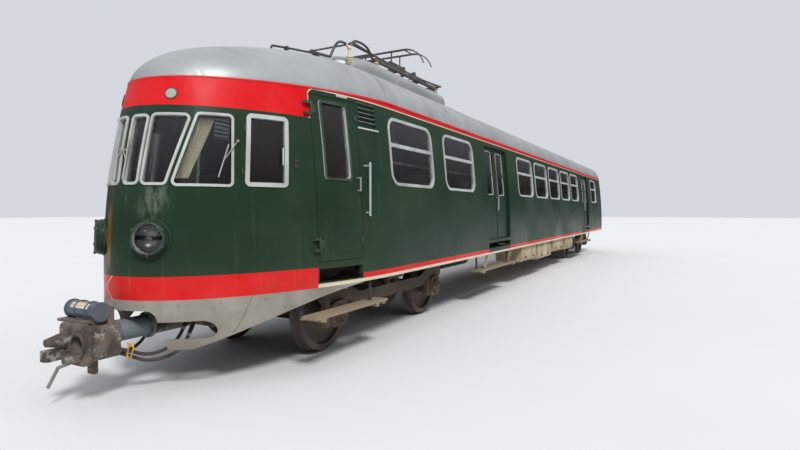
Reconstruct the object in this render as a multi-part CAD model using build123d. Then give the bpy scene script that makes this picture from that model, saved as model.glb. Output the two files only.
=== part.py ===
from build123d import *
import math
import os

os.makedirs("parts", exist_ok=True)

# Front driving motor car of a streamlined electric multiple unit.
# +X points to the nose, +Y to the left side, +Z up. Millimetres.
# x is 0 at the middle of the whole length, z is 0 where the wheel flanges touch down.

# Driving sizes of the car
body_length = 22100.0
coupler_reach = 600.0
gangway_depth = 250.0
half_width = 1410.0
nose_length = 3000.0
flange_depth = 28.0

nose_x = (body_length + coupler_reach + gangway_depth) / 2 - coupler_reach


def up(height):
    """Height above the rail top to z."""
    return flange_depth + height


def back(distance):
    """Distance behind the nose tip to x."""
    return nose_x - distance


# Heights above the rail top
skirt_top = up(890.0)
floor_top = up(1170.0)
lean_start = up(1122.0)
gutter_z = up(3180.0)
roof_top = up(3880.0)
nose_droop = 2.5

# Cross-section: upright wall, leaning arc, shoulder arc, crown arc
wall = 50.0
gutter_half_width = 1262.0
shoulder_radius = 600.0
lean_height = gutter_z - lean_start
lean_drop = half_width - gutter_half_width
lean_radius = (lean_height ** 2 + lean_drop ** 2) / (2 * lean_drop)
lean_angle = math.asin(lean_height / lean_radius)
shoulder_y = gutter_half_width - shoulder_radius * math.cos(lean_angle)
shoulder_z = gutter_z - shoulder_radius * math.sin(lean_angle)
crown_drop = roof_top - shoulder_z
crown_radius = (shoulder_y ** 2 + crown_drop ** 2 - shoulder_radius ** 2) / (2 * (crown_drop - shoulder_radius))
crown_z = roof_top - crown_radius
crown_angle = math.atan2(shoulder_y, shoulder_z - crown_z)

# Fits between pieces
door_gap = 8.0
pin_gap = 0.5
seat_gap = 0.3


def wall_y(z, inset=0.0):
    """Half-width of the wall surface at a height, some depth under the skin."""
    if z <= lean_start:
        return half_width - inset
    radius = lean_radius - inset
    return half_width - lean_radius + math.sqrt(radius ** 2 - (z - lean_start) ** 2)


def wall_line(inset, low, high):
    """Edges of the wall's outline from a low to a high z, at a depth under the skin."""
    edges = []
    start = low
    if low < lean_start:
        top = min(high, lean_start)
        edges.append(Line((half_width - inset, low), (half_width - inset, top)))
        start = top
    if high > lean_start:
        middle = (start + high) / 2
        edges.append(ThreePointArc((wall_y(start, inset), start), (wall_y(middle, inset), middle),
                                   (wall_y(high, inset), high)))
    return edges


def wall_strip(outer, inner, low, high):
    """Face of the left wall between two depths and two heights, in the YZ plane."""
    edges = wall_line(outer, low, high)
    edges.append(Line((wall_y(high, outer), high), (wall_y(high, inner), high)))
    edges += wall_line(inner, low, high)
    edges.append(Line((wall_y(low, inner), low), (wall_y(low, outer), low)))
    return Plane.YZ * make_face(edges)


def wall_panel(outer, inner, low, high, front, rear):
    """Left wall panel between two distances behind the nose tip."""
    return Pos(back(rear), 0, 0) * extrude(wall_strip(outer, inner, low, high), amount=rear - front)


def roof_line(inset):
    """Edges of the roof's half outline from the gutter up to the crown, at a depth under the skin."""
    shoulder = shoulder_radius - inset
    crown = crown_radius - inset
    low_y = shoulder_y + math.sqrt(shoulder ** 2 - (gutter_z - shoulder_z) ** 2)
    join = (shoulder_y + shoulder * math.sin(crown_angle), shoulder_z + shoulder * math.cos(crown_angle))
    half_turn = (math.pi / 2 - lean_angle + crown_angle) / 2
    middle = (shoulder_y + shoulder * math.sin(half_turn), shoulder_z + shoulder * math.cos(half_turn))
    crown_middle = (crown * math.sin(crown_angle / 2), crown_z + crown * math.cos(crown_angle / 2))
    return (low_y, join, [ThreePointArc((low_y, gutter_z), middle, join),
                          ThreePointArc(join, crown_middle, (0, roof_top - inset))])


def half_roof_face(inset):
    """Half of the space under the roof skin, in the YZ plane."""
    low_y, join, edges = roof_line(inset)
    edges.append(Line((0, roof_top - inset), (0, gutter_z)))
    edges.append(Line((0, gutter_z), (low_y, gutter_z)))
    return Plane.YZ * make_face(edges)


def half_body_face(inset, low, high):
    """Half of the space inside the wall skin, in the YZ plane."""
    edges = wall_line(inset, low, high)
    edges.append(Line((wall_y(high, inset), high), (0, high)))
    edges.append(Line((0, high), (0, low)))
    edges.append(Line((0, low), (wall_y(low, inset), low)))
    return Plane.YZ * make_face(edges)


turn_axis = Axis((0, 0, 0), (0, 0, -1))


def nose_from(face, inset):
    """Turn a half section into the half-oval nose and stretch it to the nose's length."""
    stretch = (nose_length - inset) / (half_width - inset)
    turned = revolve(face, axis=turn_axis, revolution_arc=180)
    return Pos(back(nose_length), 0, 0) * scale(turned, by=(stretch, 1, 1))


def nose_body(inset, low, high):
    return nose_from(half_body_face(inset, low, high), inset)


# The roof over the nose dips towards the tip about a line across the car where the straight roof ends
dip = Pos(back(nose_length), 0, gutter_z) * Rotation(0, nose_droop, 0)
roof_tuck = 150.0
roof_lap = 3.0
tip_height = gutter_z - nose_length * gutter_half_width / half_width * math.sin(math.radians(nose_droop))
tip_growth = wall_y(tip_height) / (gutter_half_width * math.cos(math.radians(nose_droop)))


def nose_roof(inset):
    """Space under the dipping roof of the nose, whose sheet laps under the straight roof's."""
    inset = inset + roof_lap
    half = extrude(half_roof_face(inset), amount=roof_tuck)
    tuck = Pos(back(nose_length) - roof_tuck, 0, 0) * (half + mirror(half, about=Plane.XZ))
    dome = revolve(half_roof_face(inset), axis=turn_axis, revolution_arc=180)
    stretch = tip_growth * (nose_length - inset) / (half_width - inset)
    dome = Pos(back(nose_length), 0, 0) * scale(dome, by=(stretch, 1, 1))
    level = Pos(-back(nose_length), 0, -gutter_z) * (tuck + dome)
    behind = Pos(back(nose_length), 0, gutter_z) * Box(2 * roof_tuck, 2 * half_width, 2 * half_width,
                                                       align=(Align.MAX, Align.CENTER, Align.CENTER))
    return dip * level - behind


def above_dip():
    """Everything above the dipping gutter, to trim the wall under it."""
    return dip * Box(2 * nose_length, 3 * half_width, half_width, align=(Align.CENTER, Align.CENTER, Align.MIN))


def nose_layer(outer, inner, low, high):
    """Nose shell between two depths and two heights."""
    margin = 20.0
    return nose_body(outer, low, high) - nose_body(inner, low - margin, high + margin)


def both_sides(shape):
    return [shape, mirror(shape, about=Plane.XZ)]


def box_between(x0, x1, y0, y1, z0, z1):
    size = Box(abs(x1 - x0), abs(y1 - y0), abs(z1 - z0))
    return Pos((x0 + x1) / 2, (y0 + y1) / 2, (z0 + z1) / 2) * size


def save(node, shapes):
    if isinstance(shapes, (list, tuple)):
        solids = []
        for shape in shapes:
            solids += shape.solids()
        shape = Compound(solids)
    else:
        shape = shapes
    export_step(shape, "parts/" + node + ".step")
    print(node, len(shape.solids()), round(shape.volume / 1e9, 4))


def rod(start, end, radius):
    """Round bar between two points."""
    reach = Vector(*end) - Vector(*start)
    bar = Cylinder(radius, reach.length, align=(Align.CENTER, Align.CENTER, Align.MIN))
    return Plane(origin=start, z_dir=reach) * bar


def side_prism(front, rear, low, high, corner, y0=900.0, y1=1600.0):
    """Rounded rectangle seen from the side, run across the left wall."""
    outline = RectangleRounded(rear - front, high - low, corner)
    plane = Plane(origin=(back((front + rear) / 2), y0, (low + high) / 2), x_dir=(-1, 0, 0), z_dir=(0, 1, 0))
    return extrude(plane * outline, amount=y1 - y0)


def nose_point(angle, z, proud=0.0):
    """Point on the nose skin at a plan angle from straight ahead."""
    radius = wall_y(z, -proud)
    turn = math.radians(angle)
    stretch = (nose_length + proud) / (half_width + proud)
    return (back(nose_length) + radius * stretch * math.cos(turn), radius * math.sin(turn), z)


def pane_prism(low_front, low_rear, top_front, top_rear, low, top, grow=0.0):
    """Rounded four-sided prism through the nose skin."""
    corners = [nose_point(low_front, low), nose_point(low_rear, low),
               nose_point(top_rear, top), nose_point(top_front, top)]
    points = [Vector(*corner) for corner in corners]
    middle = (points[0] + points[1] + points[2] + points[3]) / 4
    normal = (points[1] - points[3]).cross(points[2] - points[0]).normalized()
    if normal.X < 0:
        normal = normal * -1
    plane = Plane(origin=middle, x_dir=points[1] - points[0], z_dir=normal)
    local = [plane.to_local_coords(point) for point in points]
    outline = make_face(Polyline([(point.X, point.Y) for point in local], close=True))
    outline = fillet(outline.vertices(), pane_corner)
    if grow:
        outline = offset(outline, amount=grow)
    return extrude(plane * outline, amount=pane_reach, both=True)


# Cab windows: plan angles at the sill's front and rear, at the head's front and rear, sill z, head z
pane_corner = 55.0
pane_reach = 160.0
door_frame_width = 30.0
frame_proud = 12.0
glass_depth = 22.0
glass_thickness = 6.0
cab_panes = (
    # low front angle, low rear, top front, top rear, sill z, head z, frame width
    (1.0, 8.8, 1.2, 10.0, up(1990), up(2680), 25.0),
    (9.2, 18.8, 10.4, 24.9, up(1985), up(2690), 25.0),
    (19.6, 38.0, 25.8, 36.8, up(1975), up(2710), 26.0),
    (40.8, 52.4, 40.2, 52.0, up(1985), up(2735), 44.0),
)
pane_low = up(1900)
pane_high = up(2820)

# Cab doors, hinged on their front edge
cab_door_front = 1540.0
cab_door_rear = 2260.0
cab_door_top = up(3050)
cab_window = (1670.0, 2100.0, up(2090), up(3000))
cab_window_corner = 60.0
hinge_heights = (up(1370), up(2880))
hinge_length = 90.0
hinge_radius = 13.0
hinge_proud = 30.0

# Louvres behind the cab door
louvre_front = 2285.0
louvre_rear = 2675.0
louvre_low = up(2770)
louvre_high = up(3100)
louvre_count = 5

# Saloon windows and sliding doors, by distance behind the nose tip
window_fronts = (2940.0, 4720.0, 8910.0, 10490.0, 12070.0, 13650.0, 15230.0, 19340.0)
window_width = 1350.0
window_low = up(2080)
window_high = up(3000)
window_corner = 190.0
saloon_frame = 42.0
saloon_proud = 8.0
transom_low = up(2600)
transom_height = 50.0
doorway_fronts = (6760.0, 17260.0)
doorway_width = 1400.0
doorway_top = up(3030)
leaf_depth = wall + door_gap
leaf_thickness = 40.0
leaf_lap = 20.0
leaf_meeting_gap = 6.0
leaf_window = (105.0, 500.0)
leaf_width = doorway_width / 2 + leaf_lap - leaf_meeting_gap / 2
leaf_low = floor_top + leaf_meeting_gap
leaf_high = doorway_top + leaf_lap
runner_height = 40.0
runner_lap = 8.0
runner_reach = 700.0
step_low = up(1000)
step_high = up(1115)
step_plate = 12.0
cab_step_low = up(925)
cab_step_high = up(1095)
cab_step_inner = 1000.0
step_margin = 20.0
rear_wall = 60.0
wall_rear = body_length - rear_wall

# Shell of the cab, with its windows, doorways, lamps and louvres cut
headlight_y = 360.0
headlight_z = up(1480)
headlight_radius = 175.0
headlight_glass = 135.0
marker_angle = 16.4
marker_z = up(2890)
marker_radius = 62.0


def angle_at(y, z):
    """Plan angle of the point on the nose skin at a side distance."""
    return math.degrees(math.asin(y / wall_y(z)))


def skin_plane(angle, z, side=1):
    """Plane on the nose skin that faces straight out in plan."""
    point = nose_point(angle, z)
    turn = math.radians(angle)
    stretch = nose_length / half_width
    rise = (z - lean_start) / math.sqrt(lean_radius ** 2 - (z - lean_start) ** 2)
    outward = (math.cos(turn) / stretch, side * math.sin(turn), rise)
    return Plane(origin=(point[0], side * point[1], z), x_dir=(0, 0, 1), z_dir=outward)


headlight_angle = angle_at(headlight_y, headlight_z)
lamp_planes = [skin_plane(headlight_angle, headlight_z, side) for side in (1, -1)]
marker_planes = [skin_plane(marker_angle, marker_z, side) for side in (1, -1)]

cab_shell = nose_layer(0, wall, skirt_top, gutter_z) - above_dip()
openings = []
for *row, width in cab_panes:
    openings += both_sides(pane_prism(*row))
cab_doorway = box_between(back(cab_door_front), back(cab_door_rear), 900, 1600, floor_top, cab_door_top)
openings += both_sides(cab_doorway)
cab_step = box_between(back(cab_door_front + step_margin), back(cab_door_rear - step_margin), 900, 1600,
                       cab_step_low, cab_step_high)
openings += both_sides(cab_step)
openings += both_sides(side_prism(louvre_front, louvre_rear, louvre_low, louvre_high, 12))
first_window = window_fronts[0]
openings += both_sides(side_prism(first_window, first_window + window_width, window_low, window_high,
                                  window_corner))
for plane in lamp_planes:
    openings.append(plane * Cylinder(headlight_radius - 20, 400))
for plane in marker_planes:
    openings.append(plane * Cylinder(marker_radius, 300))
for opening in openings:
    cab_shell = cab_shell - opening


def skin_y(distance, z, proud=0.0):
    """Side distance of the nose skin at a distance behind the nose tip."""
    across = (nose_length - distance) * half_width / nose_length
    return math.sqrt(wall_y(z, -proud) ** 2 - across ** 2)


# The cab door's hinge line leans in with the wall, so every part of the door's edge stays inside it
hinge_u = cab_door_front + door_gap / 2
hinge_points = [Vector(back(hinge_u), skin_y(hinge_u, z) + hinge_proud, z) for z in hinge_heights]
hinge_direction = (hinge_points[1] - hinge_points[0]).normalized()
strap_length = 85.0
knuckle_gap = 1.0


def knuckle(point, low, high, side):
    """Hinge knuckle with a strap to the skin, on the shell's side (1) or the door's (-1)."""
    plane = Plane(origin=point, x_dir=(side, 0, 0), z_dir=hinge_direction)
    barrel = Pos(0, 0, (low + high) / 2) * Cylinder(hinge_radius, high - low)
    reach = hinge_proud + 45
    strap = Pos(strap_length / 2, -side * reach / 2, (low + high) / 2) * Box(strap_length, reach, high - low)
    piece = plane * (barrel + strap)
    return piece - nose_body(1, point.Z + low - 20, point.Z + high + 20)


half = hinge_length / 2
door_knuckles = []
for point in hinge_points:
    for low, high in ((-half - 32, -half - knuckle_gap), (half + knuckle_gap, half + 32)):
        piece = knuckle(point, low, high, 1)
        cab_shell = cab_shell + piece + mirror(piece, about=Plane.XZ)
    door_knuckles.append(knuckle(point, -half, half, -1))
save("cab_shell", cab_shell)

# Cab doors cut from the same curved skin, with their own window
leaf_box = box_between(back(cab_door_front + door_gap), back(cab_door_rear - door_gap), 900, 1600,
                       floor_top + door_gap, cab_door_top - door_gap)
door_layer = nose_layer(0, wall, floor_top - 20, cab_door_top + 20)
front, rear, low, high = cab_window
window_hole = side_prism(front, rear, low, high, cab_window_corner)
pane_hole = side_prism(front + door_frame_width, rear - door_frame_width, low + door_frame_width,
                       high - door_frame_width, 40)
frame_layer = nose_layer(-frame_proud, wall, low - 20, high + 20)
cab_door = (door_layer & leaf_box) - window_hole
cab_door = cab_door + (frame_layer & (window_hole - pane_hole))
for piece in door_knuckles:
    cab_door = cab_door + piece
handle_x = back(cab_door_rear - 75)
handle_skin = skin_y(cab_door_rear - 75, up(2060))
for z in (up(1985), up(2135)):
    cab_door = cab_door + rod((handle_x, handle_skin - 20, z), (handle_x, handle_skin + 48, z), 8)
cab_door = cab_door + rod((handle_x, handle_skin + 48, up(1975)), (handle_x, handle_skin + 48, up(2145)), 11)
pane = side_prism(front + door_frame_width + seat_gap, rear - door_frame_width - seat_gap,
                  low + door_frame_width + seat_gap, high - door_frame_width - seat_gap, 40)
pane = nose_layer(glass_depth, glass_depth + glass_thickness, low - 20, high + 20) & pane
save("cab_door_left", [cab_door, pane])
save("cab_door_right", [mirror(cab_door, about=Plane.XZ), mirror(pane, about=Plane.XZ)])

# Cab window frames and glass follow the nose skin
frame_skin = nose_layer(-frame_proud, wall, pane_low, pane_high)
glass_skin = nose_layer(glass_depth, glass_depth + glass_thickness, pane_low, pane_high)
cab_frames = []
cab_glass = []
for *row, width in cab_panes:
    outer = pane_prism(*row)
    inner = pane_prism(*row, grow=-width)
    cab_frames += both_sides(frame_skin & (outer - inner))
    cab_glass += both_sides(glass_skin & inner)
save("windscreen_frames", cab_frames)
save("windscreen_glass", cab_glass)

# Louvres: a rim and slanted slats in the skin behind the cab door
slat_skin = nose_layer(0, wall, louvre_low - 20, louvre_high + 20)
louvre_hole = side_prism(louvre_front, louvre_rear, louvre_low, louvre_high, 12)
louvre_inner = side_prism(louvre_front + 22, louvre_rear - 22, louvre_low + 22, louvre_high - 22, 3)
louvre = slat_skin & (louvre_hole - louvre_inner)
slat_pitch = (louvre_high - louvre_low - 44) / louvre_count
louvre_middle = (louvre_front + louvre_rear) / 2
for index in range(louvre_count):
    z = louvre_low + 22 + slat_pitch * (index + 0.5)
    widening = skin_y(louvre_rear, z) - skin_y(louvre_front, z)
    skew = math.degrees(math.atan2(widening, louvre_rear - louvre_front))
    slat = Box(louvre_rear - louvre_front - 30, 8, slat_pitch * 0.95)
    place = Pos(back(louvre_middle), skin_y(louvre_middle, z) - wall / 2, z)
    louvre = louvre + place * Rotation(0, 0, -skew) * Rotation(-38, 0, 0) * slat
save("louvre_panels", both_sides(louvre))

# Side walls with their windows, doorways and step recesses cut
side_wall = wall_panel(0, wall, skirt_top, gutter_z, nose_length, wall_rear)
frames = []
glass = []
outer = side_prism(0, window_width, window_low, window_high, window_corner)
inner = side_prism(saloon_frame, window_width - saloon_frame, window_low + saloon_frame,
                   window_high - saloon_frame, window_corner - saloon_frame)
transom = box_between(back(0), back(window_width), 900, 1600, transom_low, transom_low + transom_height)
frame_strip = wall_panel(-saloon_proud, wall, window_low - 5, window_high + 5, -5, window_width + 5)
frame_ring = frame_strip & (outer - inner)
frame_bar = wall_panel(0, wall - 5, transom_low, transom_low + transom_height, 0, window_width) & inner
saloon_frame_piece = frame_ring + frame_bar
glass_strip = wall_panel(glass_depth, glass_depth + glass_thickness, window_low - 5, window_high + 5, 0,
                         window_width)
glass_piece = (glass_strip & inner) - frame_bar
for start in window_fronts:
    side_wall = side_wall - (Pos(-start, 0, 0) * outer)
    frames.append(Pos(-start, 0, 0) * saloon_frame_piece)
    glass.append(Pos(-start, 0, 0) * glass_piece)
for start in doorway_fronts:
    side_wall = side_wall - side_prism(start, start + doorway_width, floor_top, doorway_top, 30)
    side_wall = side_wall - side_prism(start, start + doorway_width, step_low, step_high, 12)
    side_wall = side_wall + wall_panel(wall - 1, leaf_depth + leaf_thickness + runner_lap, leaf_high + seat_gap,
                                       leaf_high + runner_height, start - runner_reach,
                                       start + doorway_width + runner_reach)
save("side_wall_left", side_wall)
save("side_wall_right", mirror(side_wall, about=Plane.XZ))
save("window_frames", [piece for frame in frames for piece in both_sides(frame)])
save("window_glass", [piece for pane in glass for piece in both_sides(pane)])

# Sliding leaves run in the pocket just inside the wall
def sliding_leaf(start, faces_rear):
    """Left-hand leaf with its pane; the front leaf's meeting edge faces the rear."""
    panel = wall_panel(leaf_depth, leaf_depth + leaf_thickness, leaf_low, leaf_high, start, start + leaf_width)
    shift = leaf_lap if faces_rear else -leaf_meeting_gap / 2
    hole_front = start + shift + leaf_window[0]
    hole_rear = hole_front + leaf_window[1]
    hole = side_prism(hole_front, hole_rear, up(2070), up(2940), 60)
    clear_hole = side_prism(hole_front + seat_gap, hole_rear - seat_gap, up(2070) + seat_gap,
                            up(2940) - seat_gap, 60)
    bar = wall_panel(leaf_depth, leaf_depth + leaf_thickness, up(2470), up(2510), start + 5,
                     start + leaf_width - 5)
    panel = (panel - hole) + (bar & hole)
    depth = leaf_depth + leaf_thickness / 2
    pane = wall_panel(depth - 3, depth + 3, up(2060), up(2950), hole_front - 5, hole_rear + 5) & clear_hole
    edge = start + leaf_width - 17 if faces_rear else start + 17
    skin = wall_y(up(1900), leaf_depth)
    for z in (up(1780), up(2020)):
        panel = panel + rod((back(edge), skin - 10, z), (back(edge), skin + 34, z), 7)
    panel = panel + rod((back(edge), skin + 34, up(1760)), (back(edge), skin + 34, up(2040)), 9)
    bar_gap = wall_panel(0, 200, up(2470) - seat_gap, up(2510) + seat_gap, start - 5, start + leaf_width + 5)
    return [panel] + list((pane - bar_gap).solids())


for number, start in enumerate(doorway_fronts, 1):
    front_leaf = sliding_leaf(start - leaf_lap, True)
    rear_leaf = sliding_leaf(start + doorway_width / 2 + leaf_meeting_gap / 2, False)
    save("door_%d_left_front" % number, front_leaf)
    save("door_%d_left_rear" % number, rear_leaf)
    save("door_%d_right_front" % number, [mirror(piece, about=Plane.XZ) for piece in front_leaf])
    save("door_%d_right_rear" % number, [mirror(piece, about=Plane.XZ) for piece in rear_leaf])

# Roof: one skin from the nose dome to the rear wall
def straight_roof(inset, front, rear):
    half = extrude(half_roof_face(inset), amount=rear - front)
    return Pos(back(rear), 0, 0) * (half + mirror(half, about=Plane.XZ))


roof_nose = nose_roof(0) - nose_roof(wall)
roof = straight_roof(0, nose_length, wall_rear) - straight_roof(wall, nose_length, wall_rear)
roof = roof + roof_nose
save("roof", roof)

# Streamlined hump that carries the pantograph
hump_front = 2950.0
hump_rear = 6750.0
hump_half_width = 700.0
hump_top = up(3980)
hump_round = 160.0
hump_plan = (Pos(back((hump_front + hump_rear) / 2), 0, up(3400))
             * SlotOverall(hump_rear - hump_front, 2 * hump_half_width))
hump = extrude(hump_plan, amount=hump_top - up(3400))
hump = fillet(hump.faces().sort_by(Axis.Z)[-1].edges(), hump_round)
hump = hump - straight_roof(0, nose_length, hump_rear + 500) - nose_roof(0)
hump = hump.solids().sort_by(SortBy.VOLUME)[-1]
save("roof_hump", hump)

# Rear end wall with the gangway doorway, and the folded gangway around it
gangway_half_width = 400.0
gangway_low = floor_top
gangway_high = up(3100)
gangway_ring = 60.0
gangway_fold = 35.0
fold_count = 5
half_end = half_body_face(0, skirt_top, gutter_z)
end_wall = extrude(half_end, amount=rear_wall) + extrude(half_roof_face(0), amount=rear_wall)
end_wall = Pos(back(body_length), 0, 0) * (end_wall + mirror(end_wall, about=Plane.XZ))
end_hole = box_between(back(body_length) - 10, back(wall_rear) + 10, -gangway_half_width, gangway_half_width,
                       gangway_low, gangway_high)
end_wall = end_wall - end_hole
save("rear_end_wall", end_wall)


def gangway_frame(grow, length):
    """Upright rectangular ring round the gangway opening."""
    outer_width = 2 * (gangway_half_width + gangway_ring + grow)
    height = gangway_high - gangway_low
    outer = Box(length, outer_width, height + 2 * (gangway_ring + grow))
    inner = Box(length + 1, 2 * gangway_half_width, height)
    return Pos(0, 0, (gangway_low + gangway_high) / 2) * (outer - inner)


gangway = Pos(back(body_length) - gangway_depth / 2, 0, 0) * gangway_frame(0, gangway_depth)
fold_pitch = gangway_depth / fold_count
for index in range(fold_count):
    x = back(body_length) - fold_pitch * (index + 0.5)
    gangway = gangway + Pos(x, 0, 0) * gangway_frame(gangway_fold, fold_pitch * 0.5)
save("gangway", gangway)

# Underframe: floor, sills and bolsters that carry the bogie pivots
floor_thickness = 50.0
bogie_pivots = (3600.0, 18700.0)
pivot_radius = 90.0
pivot_low = up(700)
bolster_half_length = 300.0
bolster_low = up(905)
sill_y = 450.0
sill_width = 110.0
sill_low = up(905)
floor_low = floor_top - floor_thickness
floor_inset = wall + seat_gap
floor_strip = box_between(back(nose_length), back(wall_rear) + seat_gap, -half_width + floor_inset,
                          half_width - floor_inset, floor_low, floor_top)
floor_nose = nose_body(floor_inset, floor_low, floor_top)
underframe = floor_strip + floor_nose
for side in (1, -1):
    y = side * sill_y
    underframe = underframe + box_between(back(900), back(body_length - 350), y - sill_width / 2,
                                          y + sill_width / 2, sill_low, floor_low)
for pivot in bogie_pivots:
    x = back(pivot)
    underframe = underframe + box_between(x - bolster_half_length, x + bolster_half_length, -1100, 1100,
                                          bolster_low + 60, floor_low)
    underframe = underframe + box_between(x - 200, x + 200, -sill_y, sill_y, bolster_low, floor_low)
    underframe = underframe + Pos(x, 0, (pivot_low + bolster_low) / 2) * Cylinder(pivot_radius, bolster_low - pivot_low)
step_inner = 1135.0
member_height = 90.0
member_half = 50.0
cross_members = (1150.0, 5900.0, 7000.0, 8300.0, 9600.0, 10900.0, 12200.0, 13500.0, 14800.0, 16200.0, 21400.0)
for distance in cross_members:
    x = back(distance)
    beside_steps = any(start < distance < start + doorway_width for start in doorway_fronts)
    reach = step_inner - seat_gap if beside_steps else half_width - floor_inset
    member = box_between(x - member_half, x + member_half, -reach, reach, floor_low - member_height, floor_low)
    if distance < nose_length:
        member = member & nose_body(floor_inset, floor_low - member_height - 1, floor_low + 1)
    underframe = underframe + member
save("underframe", underframe)

# Skirt under the nose: curved sides, wide coupler opening, lower edge that rises towards the bogie
skirt_plate = 20.0
skirt_low = up(390)
skirt_tuck = 60.0
skirt_bend = up(760)


def skirt_line(inset):
    high = (half_width - inset, skirt_top)
    bend = (half_width - inset, skirt_bend)
    low = (half_width - inset - skirt_tuck, skirt_low)
    middle = (half_width - inset - skirt_tuck * 0.3, (skirt_bend + skirt_low) / 2)
    return high, bend, middle, low


high, bend, middle, low = skirt_line(0)
high_in, bend_in, middle_in, low_in = skirt_line(skirt_plate)
skirt_face = make_face([Line(high, bend), ThreePointArc(bend, middle, low), Line(low, low_in),
                        ThreePointArc(low_in, middle_in, bend_in), Line(bend_in, high_in), Line(high_in, high)])
skirt = nose_from(Plane.YZ * skirt_face, 0)
skirt_edge_front = 400.0
skirt_edge_rear = 2260.0
under = make_face([
    Line((back(-300), skirt_low), (back(skirt_edge_front), skirt_low)),
    ThreePointArc((back(skirt_edge_front), skirt_low), (back(1200), up(690)), (back(skirt_edge_rear), up(880))),
    Line((back(skirt_edge_rear), up(880)), (back(skirt_edge_rear), skirt_top + 10)),
    Line((back(skirt_edge_rear), skirt_top + 10), (back(nose_length + 100), skirt_top + 10)),
    Line((back(nose_length + 100), skirt_top + 10), (back(nose_length + 100), up(0))),
    Line((back(nose_length + 100), up(0)), (back(-300), up(0))),
    Line((back(-300), up(0)), (back(-300), skirt_low)),
])
skirt = skirt - extrude(Plane.XZ.offset(-1700) * under, amount=3400)
opening_half_width = 770.0
opening_middle = 400.0
opening_side_top = up(680)
opening_side_low = up(500)
centre_cut = box_between(back(-100), back(900), -opening_middle, opening_middle, up(0), up(790))
slot_cut = box_between(back(-100), back(1000), -opening_half_width, opening_half_width, opening_side_low,
                       opening_side_top)
slot_cut = fillet(slot_cut.edges().filter_by(Axis.X), 85)
skirt = skirt - fillet(centre_cut.edges().filter_by(Axis.X).group_by(Axis.Z)[-1], 90) - slot_cut
save("front_skirt", skirt)

# Partitions: cab bulkhead and the vestibule screens, each with a doorway
partition_thickness = 40.0
partition_doorway = 620.0
partition_door_top = up(3030)
roof_clearance = wall + seat_gap


def inner_section(inset, distance):
    """Whole inner cross-section at a depth under the skin, one partition thick."""
    half = extrude(half_body_face(inset, floor_top, gutter_z), amount=partition_thickness)
    half = half + extrude(half_roof_face(inset), amount=partition_thickness)
    return Pos(back(distance) - partition_thickness, 0, 0) * (half + mirror(half, about=Plane.XZ))


screens = (
    (2820.0, True),
    (6400.0, False),
    (8500.0, False),
    (16930.0, False),
    (18950.0, False),
)
partitions = []
leaf_space = leaf_depth + leaf_thickness + 10
for distance, is_cab in screens:
    if is_cab:
        slab = box_between(back(distance), back(distance + partition_thickness), -1500, 1500, floor_top,
                           roof_top)
        panel = (slab & nose_body(wall + seat_gap, floor_top, gutter_z)) - above_dip()
        panel = panel + (slab & nose_roof(roof_clearance))
    else:
        panel = inner_section(leaf_space, distance)
    doorway = box_between(back(distance) + 5, back(distance + partition_thickness) - 5,
                          -partition_doorway / 2, partition_doorway / 2, floor_top - 5, partition_door_top)
    partitions.append(panel - doorway)
save("interior_partitions", partitions)

# Saloon seats: two benches face each other at every window
bench_low = floor_top
bench_seat = up(1170 + 430)
bench_back = up(1170 + 1150)
bench_inner_y = 300.0
bench_outer_y = 1280.0
bench_half_bay = 650.0
bench_depth = 480.0
bench_outline = make_face([
    Line((0, bench_low), (70, bench_low)),
    Line((70, bench_low), (95, bench_seat - 130)),
    Line((95, bench_seat - 130), (bench_depth, bench_seat - 110)),
    Line((bench_depth, bench_seat - 110), (bench_depth, bench_seat)),
    Line((bench_depth, bench_seat), (125, bench_seat - 15)),
    Line((125, bench_seat - 15), (60, bench_back)),
    Line((60, bench_back), (0, bench_back)),
    Line((0, bench_back), (0, bench_low)),
])
bench = extrude(Plane.XZ.offset(-bench_outer_y) * bench_outline, amount=bench_outer_y - bench_inner_y)
bench = fillet(bench.edges().filter_by(Axis.Y).group_by(Axis.Z)[-1], 25)
seats = []
for start in window_fronts:
    middle = start + window_width / 2
    for side in (1, -1):
        facing = bench if side > 0 else mirror(bench, about=Plane.XZ)
        seats.append(Pos(back(middle + bench_half_bay), 0, 0) * facing)
        seats.append(Pos(back(middle - bench_half_bay), 0, 0) * mirror(facing, about=Plane.YZ))
save("saloon_seats", seats)

# Driver's desk that follows the nose, and the driver's seat on its column
desk_top = up(1940)
desk_front = 330.0
desk_rear = 900.0
desk = nose_body(wall + 12, floor_top, desk_top)
desk = desk & box_between(back(desk_front), back(desk_rear), -1300, 1300, floor_top, desk_top)
desk = desk - box_between(back(desk_rear) - 10, back(desk_rear - 420), -1000, -150, floor_top + 60, up(1800))
desk = desk - box_between(back(desk_rear) - 10, back(desk_rear - 420), 150, 1000, floor_top + 60, up(1800))
save("driver_desk", desk)
seat_x = back(1420)
seat_y = -520.0
column = Pos(seat_x, seat_y, floor_top + 230) * Cylinder(45, 460)
foot = Pos(seat_x, seat_y, floor_top + 12) * Cylinder(170, 24)
cushion = Pos(seat_x, seat_y, floor_top + 500) * Box(420, 460, 90)
cushion = fillet(cushion.edges(), 22)
rest = Pos(seat_x - 215, seat_y, floor_top + 790) * Box(70, 440, 500)
rest = fillet(rest.edges(), 22)
save("driver_seat", foot + column + cushion + rest)

# Headlights: barrel through the skin, raised bezel that follows the nose, domed lens
headlight_proud = 80.0
barrel_radius = headlight_radius - 23
barrel_depth = 140.0


def ring_solid(points):
    """Turn a closed outline of (radius, height) points about the local axis."""
    return revolve(Plane.XZ * make_face(Polyline(points, close=True)), axis=Axis.Z)


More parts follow.
